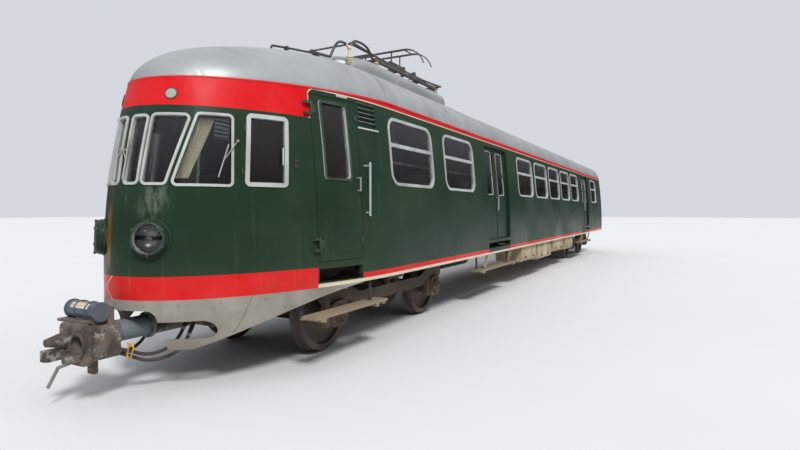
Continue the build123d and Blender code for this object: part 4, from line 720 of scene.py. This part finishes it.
def add_ring(bm, place, radius, tube, steps=48):
    """Round bar bent to a circle."""
    before = set(bm.verts)
    verts = bmesh.ops.create_circle(bm, cap_ends=False, segments=8, radius=tube,
                                    matrix=Matrix.Translation((radius, 0.0, 0.0))
                                    @ Matrix.Rotation(math.radians(90), 4, "X"))["verts"]
    edges = list({line for vert in verts for line in vert.link_edges})
    bmesh.ops.spin(bm, geom=verts + edges, cent=(0, 0, 0), axis=(0, 0, 1), dvec=(0, 0, 0),
                   angle=2 * math.pi, steps=steps, use_merge=True)
    bmesh.ops.transform(bm, matrix=place, verts=[vert for vert in bm.verts if vert not in before])


def circle_offsets(count, radius, first=0.0):
    """Pairs of offsets evenly round a circle."""
    turns = [math.radians(first + 360 / count * index) for index in range(count)]
    return [(radius * math.cos(turn), radius * math.sin(turn)) for turn in turns]


def add_mesh(bm, part):
    """Copies one bmesh into another and frees it."""
    mesh = bpy.data.meshes.new("part")
    part.to_mesh(mesh)
    part.free()
    bm.from_mesh(mesh)
    bpy.data.meshes.remove(mesh)


def skin_place(u, z, side=1, proud=0.0):
    """Placement on the wall: X runs to the rear, Y up the skin and Z out of it."""
    def on_skin(u, z):
        return Vector((back(u), skin_y(back(u), z, proud), z))

    here = on_skin(u, z)
    rear = on_skin(u + 0.01, z) - here
    out = rear.cross(on_skin(u, z + 0.01) - here).normalized()
    rear.normalize()
    place = Matrix((rear, out.cross(rear), out)).transposed().to_4x4()
    place.translation = here
    return place if side > 0 else Matrix.Scale(-1.0, 4, (0.0, 1.0, 0.0)) @ place


def link(thing):
    """Puts an object in the scene."""
    bpy.context.scene.collection.objects.link(thing)


def piece(name, bm, finish, body="car_body", angle=35):
    """Turns a bmesh into an object that rides on a body."""
    bmesh.ops.remove_doubles(bm, verts=bm.verts, dist=0.00005)
    bmesh.ops.recalc_face_normals(bm, faces=bm.faces)
    mesh = bpy.data.meshes.new(name)
    bm.to_mesh(mesh)
    bm.free()
    mesh.materials.append(finish.material)
    mesh.shade_smooth()
    mesh.set_sharp_from_angle(angle=math.radians(angle))
    thing = bpy.data.objects.new(name, mesh)
    link(thing)
    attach(thing, body)
    print(name, len(mesh.polygons), "faces")
    return thing

# %% [markdown]
# A narrow gutter runs round the whole roof and dips towards the tip. It could be a swept curve, but a
# circle that is spun half a turn about the nose's centre, stretched to the oval and then drawn back along
# the walls gives the same bar as one closed mesh whose place follows from the skin's own sizes.

# %% Gutter
gutter_red = painted("red_gutter", BAND_RED, FADED_RED, dirt=0.25, rust=0.15, rough=0.4)
bead = bmesh.new()
start = Vector((nose_base, gutter_half_width + 0.006, gutter))
bmesh.ops.create_circle(bead, cap_ends=False, segments=10, radius=0.013,
                        matrix=Matrix.Translation(start) @ Matrix.Rotation(math.radians(90), 4, "Y"))
first = list(bead.edges)
turned = bmesh.ops.spin(bead, geom=list(bead.verts) + first, cent=(nose_base, 0.0, gutter),
                        axis=(0.0, 0.0, 1.0), dvec=(0.0, 0.0, 0.0), angle=-math.pi, steps=72,
                        use_merge=False)
last = [item for item in turned["geom_last"] if isinstance(item, bmesh.types.BMEdge)]
for vert in bead.verts:
    vert.co.x = nose_base + (vert.co.x - nose_base) * nose_length / half_width
    vert.co.z -= gutter_drop(vert.co.x)
for ends in (first, last):
    drawn = bmesh.ops.extrude_edge_only(bead, edges=ends)
    moved = [item for item in drawn["geom"] if isinstance(item, bmesh.types.BMVert)]
    bmesh.ops.translate(bead, vec=(rear_end - nose_base + 0.004, 0.0, 0.0), verts=moved)
bmesh.ops.holes_fill(bead, edges=bead.edges, sides=0)
piece("gutter_bead", bead, gutter_red)

# %% [markdown]
# The roof skin is made of sheets that lap over each other every few metres. A slice of the roof's own
# mesh, two fingers wide and pushed out by its thickness, is a lap strip that fits the roof exactly, where a
# new arc would have to be fitted by trial.

# %% Roof laps
def hidden_in_roof(face):
    """Whether a face of a slice is a cut face, lies inside, or looks down."""
    cut = abs(face.normal.x) > 0.7
    inside = face.normal.dot(Vector((0.0, face.calc_center_median().y, 1.0))) < 0
    return cut or inside or (face.normal.z < 0.05 and abs(face.normal.y) < 0.9)


lap_thickness, lap_width = 0.004, 0.03
laps = bmesh.new()
for u in (3.02, 6.0, 9.0, 12.0, 15.0, 18.0, 20.9):
    strip = bmesh.new()
    strip.from_mesh(nodes["roof"].data)
    bmesh.ops.remove_doubles(strip, verts=strip.verts, dist=0.0001)
    for x, keep in ((back(u), 1.0), (back(u + lap_width), -1.0)):
        bmesh.ops.bisect_plane(strip, geom=list(strip.verts) + list(strip.edges) + list(strip.faces),
                               plane_co=(x, 0.0, 0.0), plane_no=(keep, 0.0, 0.0), clear_outer=True)
    hidden = [face for face in strip.faces if hidden_in_roof(face)]
    bmesh.ops.delete(strip, geom=hidden, context="FACES")
    for vert in strip.verts:
        vert.co += Vector((0.0, vert.co.y, vert.co.z - roof_axis)).normalized() * lap_thickness
    add_mesh(laps, strip)
bmesh.ops.solidify(laps, geom=list(laps.faces), thickness=lap_thickness)
piece("roof_laps", laps, roof_paint)

# %% [markdown]
# Each headlight has a rubber gasket where its bezel meets the nose, a green ring round the glass and six
# clips that hold the ring. Behind the glass sits a dished reflector with its bulb, which is what gives an
# unlit lamp its depth. A flat grey disc would look painted on.

# %% Headlight trim
mirror = Finish("dulled_reflector", metallic=1.0)
mirror.colour(mirror.over((168, 166, 160), (110, 108, 102), mirror.noise(20.0)))
mirror.roughness(mirror.noise(9.0), 0.12, 0.40)

gaskets, rings, reflectors = bmesh.new(), bmesh.new(), bmesh.new()
for side in (1, -1):
    point, direction = lamp_axis(side)
    add_ring(gaskets, pointing(point + direction * 0.001, direction), 0.181, 0.007)
    add_ring(rings, pointing(point + direction * 0.076, direction), 0.146, 0.008)
    for index in range(6):
        turn = pointing(point, direction) @ Matrix.Rotation(math.radians(30 + 60 * index), 4, "Z")
        add_box(rings, (0.138, -0.010, 0.066), (0.172, 0.010, 0.088), 0.003, turn)
        add_bolt(rings, turn @ Vector((0.163, 0.0, 0.086)), direction, 0.005)
    bowl = bmesh.ops.create_uvsphere(reflectors, u_segments=32, v_segments=16, radius=0.128)["verts"]
    bmesh.ops.delete(reflectors, geom=[vert for vert in bowl if vert.co.z > 0.001], context="VERTS")
    bowl = [vert for vert in bowl if vert.is_valid]
    bmesh.ops.scale(reflectors, vec=(1.0, 1.0, 0.9), verts=bowl)
    bmesh.ops.transform(reflectors, matrix=pointing(point + direction * 0.030, direction), verts=bowl)
    add_rod(reflectors, point - direction * 0.08, point - direction * 0.02, 0.016)
    bulb = bmesh.ops.create_icosphere(reflectors, subdivisions=3, radius=0.024)["verts"]
    bmesh.ops.translate(reflectors, vec=point - direction * 0.005, verts=bulb)
piece("headlight_gaskets", gaskets, rubber)
piece("headlight_rings", rings, green_metal)
piece("headlight_reflectors", reflectors, mirror)

# %% [markdown]
# Small fittings on the cab: hinges and a bar on the side pane, a blank plate over the door, a lamp bracket,
# two latches and a sill. Each sits on a placement of the curved skin, so it lies flat on the wall from
# every side.

# %% Cab fittings
half_pin = Vector((0.0, 0.0, 0.035))
white_bits, dark_bits = bmesh.new(), bmesh.new()
for side in (1, -1):
    plate = skin_place(2.045, up(3.09), side, 0.003)
    add_box(white_bits, (-0.09, -0.014, -0.004), (0.09, 0.014, 0.004), 0.002, plate)
    for z in (up(2.14), up(2.58)):
        hinge = on_side(nose_point(40.1, z, 0.010), side)
        add_rod(dark_bits, hinge - half_pin, hinge + half_pin, 0.010)
        outward = Vector((hinge.x - nose_base, hinge.y * 4.6, 0.0)).normalized()
        add_rod(dark_bits, hinge - outward * 0.02, hinge + outward * 0.014, 0.014)
    low_bar, high_bar = nose_point(50.9, up(2.22), 0.016), nose_point(50.8, up(2.40), 0.016)
    add_rod(white_bits, on_side(low_bar, side), on_side(high_bar, side), 0.008)
    bracket = skin_place(1.31, up(2.245), side)
    add_box(dark_bits, (-0.018, -0.045, -0.003), (0.018, 0.045, 0.012), 0.003, bracket)
    add_box(dark_bits, (-0.012, 0.010, 0.010), (0.012, 0.034, 0.040), 0.003, bracket)
    for z in (up(2.86), up(1.39)):
        add_box(dark_bits, (-0.02, -0.03, -0.002), (0.02, 0.03, 0.010), 0.002, skin_place(2.235, z, side))
    sill = skin_place(2.48, up(2.752), side)
    add_box(white_bits, (-0.21, -0.010, -0.002), (0.21, 0.010, 0.014), 0.003, sill)
piece("cab_white_fittings", white_bits, frame_paint)
piece("cab_dark_fittings", dark_bits, dark_metal)

# %% [markdown]
# Three brake and control hoses hang from the coupler's head and go back into the fittings below the
# underframe. Each is a smooth curve with the route's own points, so it has the slack of a real hose. The
# solids of the same hoses stay in the physics model, and these curves stand for them.

# %% Hoses
def hose_points(y0, z0, sag, y1, z1):
    """Route of one hose from the coupler's head to its pipe."""
    u0, u1 = -0.100, 0.560
    rise = z1 - sag
    shares = ((0.0, 0.0, z0), (0.18, 0.10, z0 - 0.35 * (z0 - sag)), (0.42, 0.40, sag),
              (0.72, 0.84, sag + 0.105 * rise), (0.91, 1.00, sag + 0.52 * rise), (1.0, 1.0, z1))
    return [Vector((back(u0 + along * (u1 - u0)), y0 + across * (y1 - y0), z)) for along, across, z in shares]


hose_table = (
    (0.130, up(0.455), up(0.330), 0.250, up(0.548), 0.760),
    (0.090, up(0.420), up(0.270), 0.330, up(0.488), 0.803),
    (-0.130, up(0.450), up(0.310), -0.260, up(0.528), 0.767),
)
hose_rubber = painted("dusty_hose", (66, 60, 54), (46, 42, 38), dirt=0.5, rust=0.0, rough=0.7)
clamps = bmesh.new()
for number, (*route, length) in enumerate(hose_table, 1):
    points = hose_points(*route)
    curve = bpy.data.curves.new(f"hose_{number}", "CURVE")
    curve.dimensions = "3D"
    curve.bevel_depth = 0.017
    curve.bevel_resolution = 4
    curve.use_fill_caps = True
    curve.resolution_u = 16
    spline = curve.splines.new("NURBS")
    spline.points.add(len(points) - 1)
    for knot, point in zip(spline.points, points):
        knot.co = (*point, 1.0)
    spline.use_endpoint_u = True
    spline.order_u = 3
    curve.materials.append(hose_rubber.material)
    hose = bpy.data.objects.new(f"hose_{number}", curve)
    link(hose)
    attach(hose, "car_body")
    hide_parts(f"coupler_hose_{number}")
    for end, inner in ((points[0], points[1]), (points[-1], points[-2])):
        along = (inner - end).normalized()
        add_rod(clamps, end - along * 0.004, end + along * 0.030, 0.0215, 16)
        add_bolt(clamps, end + along * 0.014 + Vector((0.0, 0.0, 0.020)), (0.0, 0.0, 1.0), 0.005)
piece("hose_clamps", clamps, bright_metal_and_highlight)

# %% [markdown]
# The coupler is a rusty casting with a dark blue drum for the electric contacts on top, whose label has
# worn to white and yellow stripes. It has bolts round its flanges and a yellow loop handle that hangs
# beside the hoses. These small pieces carry most of the character at the front, so each is modelled.

# %% Coupler fittings
bolts = bmesh.new()
for across, rise in circle_offsets(8, 0.118, 22.5):
    add_bolt(bolts, (back(0.298), across, tube_z + rise), (1.0, 0.0, 0.0), 0.010)
for y in (-0.14, 0.14):
    for z in (-0.13, 0.13):
        add_bolt(bolts, (back(-0.388), y, coupler_z + z), (1.0, 0.0, 0.0), 0.012)
for side in (1, -1):
    for u in (-0.32, -0.24, -0.15):
        for z in (-0.12, 0.12):
            add_bolt(bolts, (back(u), side * 0.174, coupler_z + z), (0.0, side, 0.0), 0.010)
for y, out in ((0.164, 1.0), (-0.249, -1.0)):
    for along, rise in circle_offsets(6, 0.058):
        add_bolt(bolts, (drum.x + along, y, drum.y + rise), (0.0, out, 0.0), 0.007)
piece("coupler_bolts", bolts, coupler_paint)

white_label = painted("white_label", (206, 206, 200), (170, 170, 160), dirt=0.35, rust=0.05, rough=0.4)
yellow_label = painted("yellow_stripe", (214, 168, 50), (186, 146, 60), rust=0.1, rough=0.4)
labels = (("drum_label", -0.18, 0.08, 20, 60, 0.0812, white_label),
          ("drum_stripe", -0.18, 0.08, 37, 44, 0.0822, yellow_label),
          ("drum_upper_stripe", -0.12, 0.04, 62, 69, 0.0822, yellow_label))
for name, y0, y1, low_angle, high_angle, radius, finish in labels:
    label = bmesh.new()
    turn = math.radians(low_angle)
    x, z = drum.x + radius * math.cos(turn), drum.y + radius * math.sin(turn)
    verts = [label.verts.new((x, y, z)) for y in (y0, y1)]
    edge = label.edges.new(verts)
    bmesh.ops.spin(label, geom=[*verts, edge], cent=(drum.x, 0.0, drum.y), axis=(0.0, -1.0, 0.0),
                   dvec=(0, 0, 0), angle=math.radians(high_angle - low_angle), steps=8, use_merge=False)
    bmesh.ops.solidify(label, geom=list(label.faces), thickness=0.0012)
    piece(name, label, finish)

loop = bmesh.new()
add_ring(loop, Matrix.Identity(4), 0.032, 0.0075, steps=24)
for vert in loop.verts:
    vert.co.y += 0.040 if vert.co.y > 0.0 else -0.040
hang = (Matrix.Translation((back(0.00), 0.190, coupler_z - 0.135))
        @ Matrix.Rotation(math.radians(90), 4, "Y") @ Matrix.Rotation(math.radians(68), 4, "Z"))
bmesh.ops.transform(loop, matrix=hang, verts=loop.verts)
add_rod(loop, (back(0.00), 0.150, coupler_z - 0.06), (back(0.00), 0.185, coupler_z - 0.075), 0.009)
loop_yellow = painted("yellow_loop", (222, 158, 44), (170, 118, 54), dirt=0.35)
piece("coupler_loop", loop, loop_yellow)

# %% [markdown]
# The skirt is pressed from plates that are welded together. The weld shows as a rough, rusty seam that
# runs down and forward, and bolts hold the skirt to the body along its upper edge.

# %% Skirt seam and bolts
seam_line = ((0.932, 43.6), (0.814, 42.2), (0.685, 40.8), (0.574, 39.2), (0.480, 37.7))
bolts, seam = bmesh.new(), bmesh.new()
for side in (1, -1):
    for angle in (12.0, 23.5, 35.0, 46.5, 58.0, 69.5):
        turn = math.radians(angle)
        out = (math.cos(turn) * half_width / nose_length, side * math.sin(turn), 0.0)
        add_bolt(bolts, on_side(nose_point(angle, up(0.845)), side), out, 0.009)
    before = None
    for (height, angle), (next_height, next_angle) in zip(seam_line, seam_line[1:]):
        for share in (0.0, 0.25, 0.5, 0.75):
            z = up(height + (next_height - height) * share)
            aim = on_side(nose_point(angle + (next_angle - angle) * share, z), side)
            place = nodes["front_skirt"].closest_point_on_mesh(aim)[1]
            if before is not None and (place - before).length > 0.002:
                add_rod(seam, before, place, 0.0035 + 0.0015 * math.sin(z * 400), 6)
            before = place
piece("skirt_bolts", bolts, skirt_paint)
weld_rust = painted("rusty_weld", (138, 104, 78), (104, 68, 48), rust=0.8, rough=0.8)
piece("skirt_seam", seam, weld_rust)

# %% [markdown]
# Axlebox covers are bolted on, and so are the lids of the equipment boxes, which hang on strap hinges and
# close with two latches. A dozen small shapes repeated along the car read as one busy row below the floor,
# which is how the underside of such a car looks.

# %% Bogie and box fittings
axle_z, cover_y, box_y = 0.503, 1.098, 1.33
for name, pivot in (("front", back(3.6)), ("rear", back(18.7))):
    bolts = bmesh.new()
    for side in (1, -1):
        for x in (pivot + 1.4, pivot - 1.4):
            for along, rise in circle_offsets(6, 0.085, 30):
                add_bolt(bolts, (x + along, side * cover_y, axle_z + rise), (0.0, side, 0.0), 0.011)
            add_rod(bolts, (x, side * cover_y, axle_z), (x, side * (cover_y + 0.008), axle_z), 0.045, 20)
            add_box(bolts, (x - 0.10, side * 1.01, 0.655), (x + 0.10, side * 1.07, 0.675), 0.006)
        for x in (pivot + 0.55, pivot - 0.55):
            for z in (up(0.56), up(0.65)):
                add_bolt(bolts, (x, side * 1.019, z), (0.0, side, 0.0), 0.012)
    piece(f"axlebox_bolts_{name}", bolts, bogie_paint, body=f"bogie_{name}")


def on_face(x, out, z):
    """Place at a distance out of a box's face, on the side that the loop is at."""
    return (x, side * (box_y + out), z)


box_table = ((9.30, 1.40, 1, 0.52), (10.85, 1.55, 1, 0.46), (12.60, 1.50, 1, 0.54), (14.30, 1.40, 1, 0.50),
             (9.30, 2.10, -1, 0.50), (11.90, 1.80, -1, 0.46), (14.25, 1.50, -1, 0.54))
lids, catches = bmesh.new(), bmesh.new()
lid_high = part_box("equipment_boxes")[1].z - 0.05
for front, length, side, box_low in box_table:
    lid_low = up(box_low) + 0.06
    grip_z = lid_low + 0.035
    add_box(lids, on_face(back(front + length) + 0.05, 0.0, lid_low),
            on_face(back(front) - 0.05, 0.012, lid_high), 0.004)
    for share in (0.2, 0.5, 0.8):
        x = back(front + length * share)
        add_rod(catches, on_face(x - 0.05, 0.016, lid_high), on_face(x + 0.05, 0.016, lid_high), 0.011)
        add_box(catches, on_face(x - 0.03, 0.0, lid_high - 0.10), on_face(x + 0.03, 0.018, lid_high), 0.003)
    for share in (0.25, 0.75):
        x = back(front + length * share)
        add_box(catches, on_face(x - 0.035, 0.0, lid_low + 0.01), on_face(x + 0.035, 0.020, lid_low + 0.06),
                0.004)
        add_rod(catches, on_face(x, 0.016, grip_z), on_face(x, 0.045, grip_z), 0.010)
        add_rod(catches, on_face(x - 0.03, 0.042, grip_z), on_face(x + 0.03, 0.042, grip_z), 0.007)
piece("box_lids", lids, box_paint)
piece("box_catches", catches, under_paint)

# %% [markdown]
# Two benches face each other at every saloon window. Their solids are plain profiles, so padded pieces
# stand for them: a cushion and a back with a crowned middle and drawn-in edges, on a varnished frame.
# Cloth simulation would take minutes for so many, and they show only through dark glass, so one pad is
# shaped by subdividing a box and pushing its faces out, and then repeated at each place.

# %% Padded benches
def add_pad(bm, low, high, crown, place=None):
    """Cushion: a box whose big faces bulge in the middle and whose edges are round."""
    low, high = ordered(low, high)
    pad = bmesh.new()
    add_box(pad, low, high, min(b - a for a, b in zip(low, high)) * 0.28)
    long_edges = [line for line in pad.edges if line.calc_length() > 0.12]
    bmesh.ops.subdivide_edges(pad, edges=long_edges, cuts=4, use_grid_fill=True)
    middle = [(a + b) / 2 for a, b in zip(low, high)]
    half = [(b - a) / 2 for a, b in zip(low, high)]
    thin = half.index(min(half))
    for vert in pad.verts:
        shares = [(vert.co[i] - middle[i]) / half[i] for i in range(3)]
        swell = math.prod(max(0.0, 1 - shares[i] ** 4) for i in range(3) if i != thin)
        vert.co[thin] += crown * (shares[thin] * swell - 0.5 * (1 - swell) * shares[thin])
    if place is not None:
        bmesh.ops.transform(pad, matrix=place, verts=pad.verts)
    add_mesh(bm, pad)


def add_bench(x, facing, side):
    """Wooden frame and two pads, with the back at x and the seat before it."""
    y0, y1 = sorted((side * aisle_y, side * wall_end_y))

    def part(near, far, low, high, inset=0.0):
        return (x + facing * near, y0 + inset, up(low)), (x + facing * far, y1 - inset, up(high))

    add_box(frames_wood, *part(0.0, 0.06, 1.175, 1.47), 0.006)
    add_box(frames_wood, *part(0.08, 0.46, 1.445, 1.485), 0.006)
    add_pad(pads, *part(0.09, 0.475, 1.488, 1.592, 0.005), 0.014)
    foot = Vector((x + facing * 0.065, 0.0, up(1.60)))
    tilt = Matrix.Rotation(math.radians(-4.5 * facing), 4, "Y")
    place = Matrix.Translation(foot) @ tilt @ Matrix.Translation(-foot)
    add_pad(pads, *part(0.018, 0.098, 1.60, 2.30, 0.005), 0.012, place)


window_fronts = (2.94, 4.72, 8.91, 10.49, 12.07, 13.65, 15.23, 19.34)
half_window, half_bay = 0.675, 0.65
aisle_y, wall_end_y = 0.31, 1.27
pads, frames_wood = bmesh.new(), bmesh.new()
for front in window_fronts:
    for side in (1, -1):
        for facing in (1, -1):
            add_bench(back(front + half_window + half_bay * facing), facing, side)
bench_pads = piece("bench_pads", pads, cloth, angle=60)
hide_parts("saloon_seats")
piece("bench_frames", frames_wood, varnish)

seat_x, seat_y, floor = back(1.42), -0.52, up(1.17)


def seat_part(rear, front, half_wide, low, high):
    """Corners of a part of the driver's seat."""
    return ((seat_x + rear, seat_y - half_wide, floor + low),
            (seat_x + front, seat_y + half_wide, floor + high))


pad, column = bmesh.new(), bmesh.new()
add_pad(pad, *seat_part(-0.205, 0.205, 0.225, 0.460, 0.540), 0.012)
add_pad(pad, *seat_part(-0.245, -0.185, 0.215, 0.548, 1.030), 0.010)
driver_pads = piece("driver_seat_pads", pad, cloth, angle=60)
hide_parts("driver_seat")
for low, high, radius, sides in ((0.0, 0.022, 0.168, 32), (0.020, 0.458, 0.044, 20)):
    add_rod(column, (seat_x, seat_y, floor + low), (seat_x, seat_y, floor + high), radius, sides)
add_box(column, *seat_part(-0.248, 0.10, 0.03, 0.44, 0.458), 0.004)
add_box(column, *seat_part(-0.249, -0.241, 0.03, 0.44, 0.86), 0.003)
piece("driver_seat_column", column, desk_paint)

# %% [markdown]
# A cream curtain hangs gathered at the front of the large left pane, and its lower edge is drawn back. It
# is one sheet, made as a grid of hanging folds.

# %% Curtain
def behind_glass(point, distance):
    """Place at a distance inside a point of the nose's skin."""
    return point + Vector((nose_base - point.x, -point.y, 0.0)).normalized() * distance


curtain_cloth = Finish("cream_curtain", roughness=0.9)
shade = curtain_cloth.patches(5.0, 0.3, 0.8, stretch=(1.0, 1.0, 0.3))
curtain_cloth.colour(curtain_cloth.over((238, 224, 200), (214, 198, 168), shade))
curtain_cloth.bump(curtain_cloth.noise(500.0, detail=2.0), 0.0006, 0.6)

cloth_rows = ((up(2.655), 24.0, 29.4), (up(2.50), 23.2, 28.0), (up(2.35), 21.8, 26.4),
              (up(2.20), 20.0, 24.6), (up(2.06), 18.4, 23.0))
hang_depth = 0.115
across, down = 48, 4
curtain = bmesh.new()
bmesh.ops.create_grid(curtain, x_segments=across, y_segments=down, size=0.5)
for vert in curtain.verts:
    share = vert.co.x + 0.5
    z, near, far = cloth_rows[round((0.5 - vert.co.y) * down)]
    fold = 0.012 * math.sin(share * math.pi * 9) * (0.7 + 0.3 * math.sin(share * 5.0))
    vert.co = behind_glass(nose_point(near + (far - near) * share, z), hang_depth + fold)
flat_area = sum(face.calc_area() for face in curtain.faces)
curtain_sheet = piece("cab_curtain", curtain, curtain_cloth, angle=180)
rail = bmesh.new()
rail_line = [nose_point(angle, up(2.665)) for angle in (21.0, 27.0, 33.0, 37.0)]
add_chain(rail, [behind_glass(point, hang_depth) for point in rail_line], 0.006)
piece("curtain_rail", rail, bright_metal_and_highlight)

# %% [markdown]
# Through the side windows a passenger would see racks and round ceiling lamps, and on the driver's desk
# the master controller and the gauges. Simple turned and bent shapes are enough there.

# %% Racks, ceiling lamps and desk controls
racks, lamps, controls = bmesh.new(), bmesh.new(), bmesh.new()
for front, rear in ((3.1, 6.2), (8.9, 16.5), (19.2, 20.9)):
    for side in (1, -1):
        for y in (1.20, 1.12, 1.04, 0.96):
            z = up(2.42) + (1.20 - y) * 0.1
            add_rod(racks, (back(front), side * y, z), (back(rear), side * y, z), 0.007, 8)
        count = int((rear - front) / 0.8)
        for index in range(count + 1):
            x = back(front + (rear - front) * index / count)
            add_rod(racks, (x, side * 0.94, up(2.445)), (x, side * 1.245, up(2.41)), 0.009, 8)
piece("luggage_racks", racks, bright_metal_and_highlight)

roof_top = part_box("roof")[1].z
for u in (4.0, 5.4, 7.4, 9.8, 11.4, 13.0, 14.6, 16.2, 18.2, 19.9):
    ball = bmesh.ops.create_uvsphere(lamps, u_segments=20, v_segments=10, radius=0.11)["verts"]
    bmesh.ops.scale(lamps, vec=(1.0, 1.0, 0.5), verts=ball)
    bmesh.ops.translate(lamps, vec=(back(u), 0.0, up(3.0)), verts=ball)
    add_rod(lamps, (back(u), 0.0, up(3.02)), (back(u), 0.0, roof_top - 0.06), 0.012, 10)
milk_glass = grained("milk_glass", 0.3, (222, 218, 204), (196, 190, 174), 8.0)
piece("ceiling_lamps", lamps, milk_glass)

desk_top = up(1.94)
for y in (-0.75, -0.55, -0.35, 0.35, 0.6):
    for low, high, radius in ((0.0, 0.03, 0.06), (0.028, 0.034, 0.052)):
        add_rod(controls, (back(0.58), y, desk_top + low), (back(0.58), y, desk_top + high), radius, 28)
add_rod(controls, (back(0.74), -0.52, desk_top), (back(0.74), -0.52, desk_top + 0.09), 0.055, 24)
knob = Vector((back(0.84), -0.58, desk_top + 0.115))
add_rod(controls, (back(0.74), -0.52, desk_top + 0.085), knob, 0.010)
ball = bmesh.ops.create_icosphere(controls, subdivisions=2, radius=0.022)["verts"]
bmesh.ops.translate(controls, vec=knob, verts=ball)
piece("desk_controls", controls, dark_metal)

# %% [markdown]
# The rear end has a hand rail, a lamp and bolts on each side of the gangway. None of it shows in the
# photograph, but the car is judged from all sides, so it gets the fittings that such a car has.

# %% Rear end
rear = bmesh.new()
inner_x, outer_x = rear_end + 0.01, rear_end - 0.05
for side in (1, -1):
    y = side * 0.98
    add_rod(rear, (outer_x, y, up(1.35)), (outer_x, y, up(2.35)), 0.013)
    for z, radius, sides in ((up(1.40), 0.010, 12), (up(2.30), 0.010, 12), (up(2.75), 0.065, 32)):
        add_rod(rear, (inner_x, y, z), (outer_x, y, z), radius, sides)
    for z in (up(1.25), up(2.0), up(2.95)):
        add_bolt(rear, (rear_end, side * 1.18, z), (-1.0, 0.0, 0.0), 0.012)
piece("rear_fittings", rear, dark_metal)

# %% [markdown]
# Black rubber strips close the sliding doors where their leaves meet, and a pale bead runs round each pane.
# Each of them rides on its own leaf, so that it travels with the door.

# %% Door rubbers and pane beads
def pane_outline(front, rear, low, high, radius):
    """Distances behind the nose tip and heights round a pane with round corners."""
    points = []
    for u, z, first_angle in ((rear - radius, high - radius, 0), (front + radius, high - radius, 90),
                              (front + radius, low + radius, 180), (rear - radius, low + radius, 270)):
        for step in range(5):
            angle = math.radians(first_angle + 22.5 * step)
            points.append((u + radius * math.cos(angle), z + radius * math.sin(angle)))
    return points + points[:1]


def on_leaf(points, side, under):
    """Places of such points on a door leaf, at a depth under the skin."""
    return [Vector((back(u), side * (wall_y(z) - under), z)) for u, z in points]


heights = [up(1.20 + 1.80 * index / 8) for index in range(9)]
rubber_depth, bead_depth = 0.054, 0.061
pane_inset, pane_width = 0.105, 0.395
for number, start in enumerate(doorways, 1):
    for side, hand in ((1, "left"), (-1, "right")):
        for end, shift, leaf in ((-0.0125, 0.0, "front"), (0.0125, doorway_width / 2, "rear")):
            meeting = start + doorway_width / 2 + end
            pane_front = start + pane_inset + shift
            outline = pane_outline(pane_front, pane_front + pane_width, up(2.07), up(2.94), 0.06)
            strip, bead = bmesh.new(), bmesh.new()
            add_chain(strip, on_leaf([(meeting, z) for z in heights], side, rubber_depth), 0.007, 8)
            add_chain(bead, on_leaf(outline, side, bead_depth), 0.009, 8)
            name = f"{number}_{hand}_{leaf}"
            piece(f"rubber_{name}", strip, rubber, body=f"door_{name}")
            piece(f"pane_bead_{name}", bead, saloon_frame_paint, body=f"door_{name}")

# %% [markdown]
# The studio is plain: a pale floor, a pale backdrop, a soft key light from the left front, and the
# photograph's own viewpoint. A sky that is white down to the horizon would wash out dark paint and glass
# with its reflection, so only the camera sees it pale and the car sees it darken downwards. The camera
# stands 1.74 m above the rail beside the nose, with a wide lens that looks along the car, so the place and
# direction are written as found from the photograph's vanishing lines.

# %% Studio, light and camera
def studio_floor():
    bm = bmesh.new()
    bmesh.ops.create_grid(bm, x_segments=1, y_segments=1, size=150.0)
    mesh = bpy.data.meshes.new("floor")
    bm.to_mesh(mesh)
    bm.free()
    finish = Finish("studio_floor", roughness=0.9)
    finish.colour(finish.over((0.62, 0.62, 0.61, 1.0), (0.66, 0.66, 0.65, 1.0), finish.noise(0.3)))
    mesh.materials.append(finish.material)
    ground = bpy.data.objects.new("floor", mesh)
    link(ground)


def sky():
    """Even and pale for the camera, and darker towards the horizon for all that reflects it."""
    world = bpy.data.worlds.new("studio_sky")
    bpy.context.scene.world = world
    world.use_nodes = True
    tree = world.node_tree

    def node(kind):
        return tree.nodes.new("ShaderNode" + kind)

    height, dome, backdrop = node("SeparateXYZ"), node("MapRange"), node("Mix")
    tree.links.new(node("TexCoord").outputs["Generated"], height.inputs[0])
    tree.links.new(height.outputs[2], dome.inputs["Value"])
    for name, value in (("From Min", 0.08), ("From Max", 0.60), ("To Min", 0.03), ("To Max", 0.98)):
        dome.inputs[name].default_value = value
    tree.links.new(node("LightPath").outputs["Is Camera Ray"], backdrop.inputs[0])
    tree.links.new(dome.outputs[0], backdrop.inputs[2])
    backdrop.inputs[3].default_value = 0.75
    background = tree.nodes["Background"]
    background.inputs["Color"].default_value = (0.88, 0.92, 0.98, 1.0)
    tree.links.new(backdrop.outputs[0], background.inputs["Strength"])


def aim(thing, direction):
    """Turns a lamp or a camera so that it looks along a direction."""
    thing.rotation_mode = "QUATERNION"
    thing.rotation_quaternion = Vector(direction).to_track_quat("-Z", "Y")


def key_light():
    sun = bpy.data.lights.new("key_light", "SUN")
    sun.energy = 2.7
    sun.angle = math.radians(12)
    lamp = bpy.data.objects.new("key_light", sun)
    aim(lamp, (-0.55, -0.62, -0.85))
    link(lamp)


def camera():
    """The photograph's viewpoint."""
    data = bpy.data.cameras.new("camera")
    data.sensor_width = 36.0
    data.lens = 23.85
    data.clip_end = 500.0
    view = bpy.data.objects.new("camera", data)
    view.location = (14.035, 4.81, rail_top + 1.74)
    down = math.radians(1.51)
    aim(view, (-0.8788 * math.cos(down), -0.4772 * math.cos(down), -math.sin(down)))
    link(view)
    bpy.context.scene.camera = view


studio_floor()
sky()
key_light()
camera()
bpy.context.scene.view_settings.view_transform = "Standard"
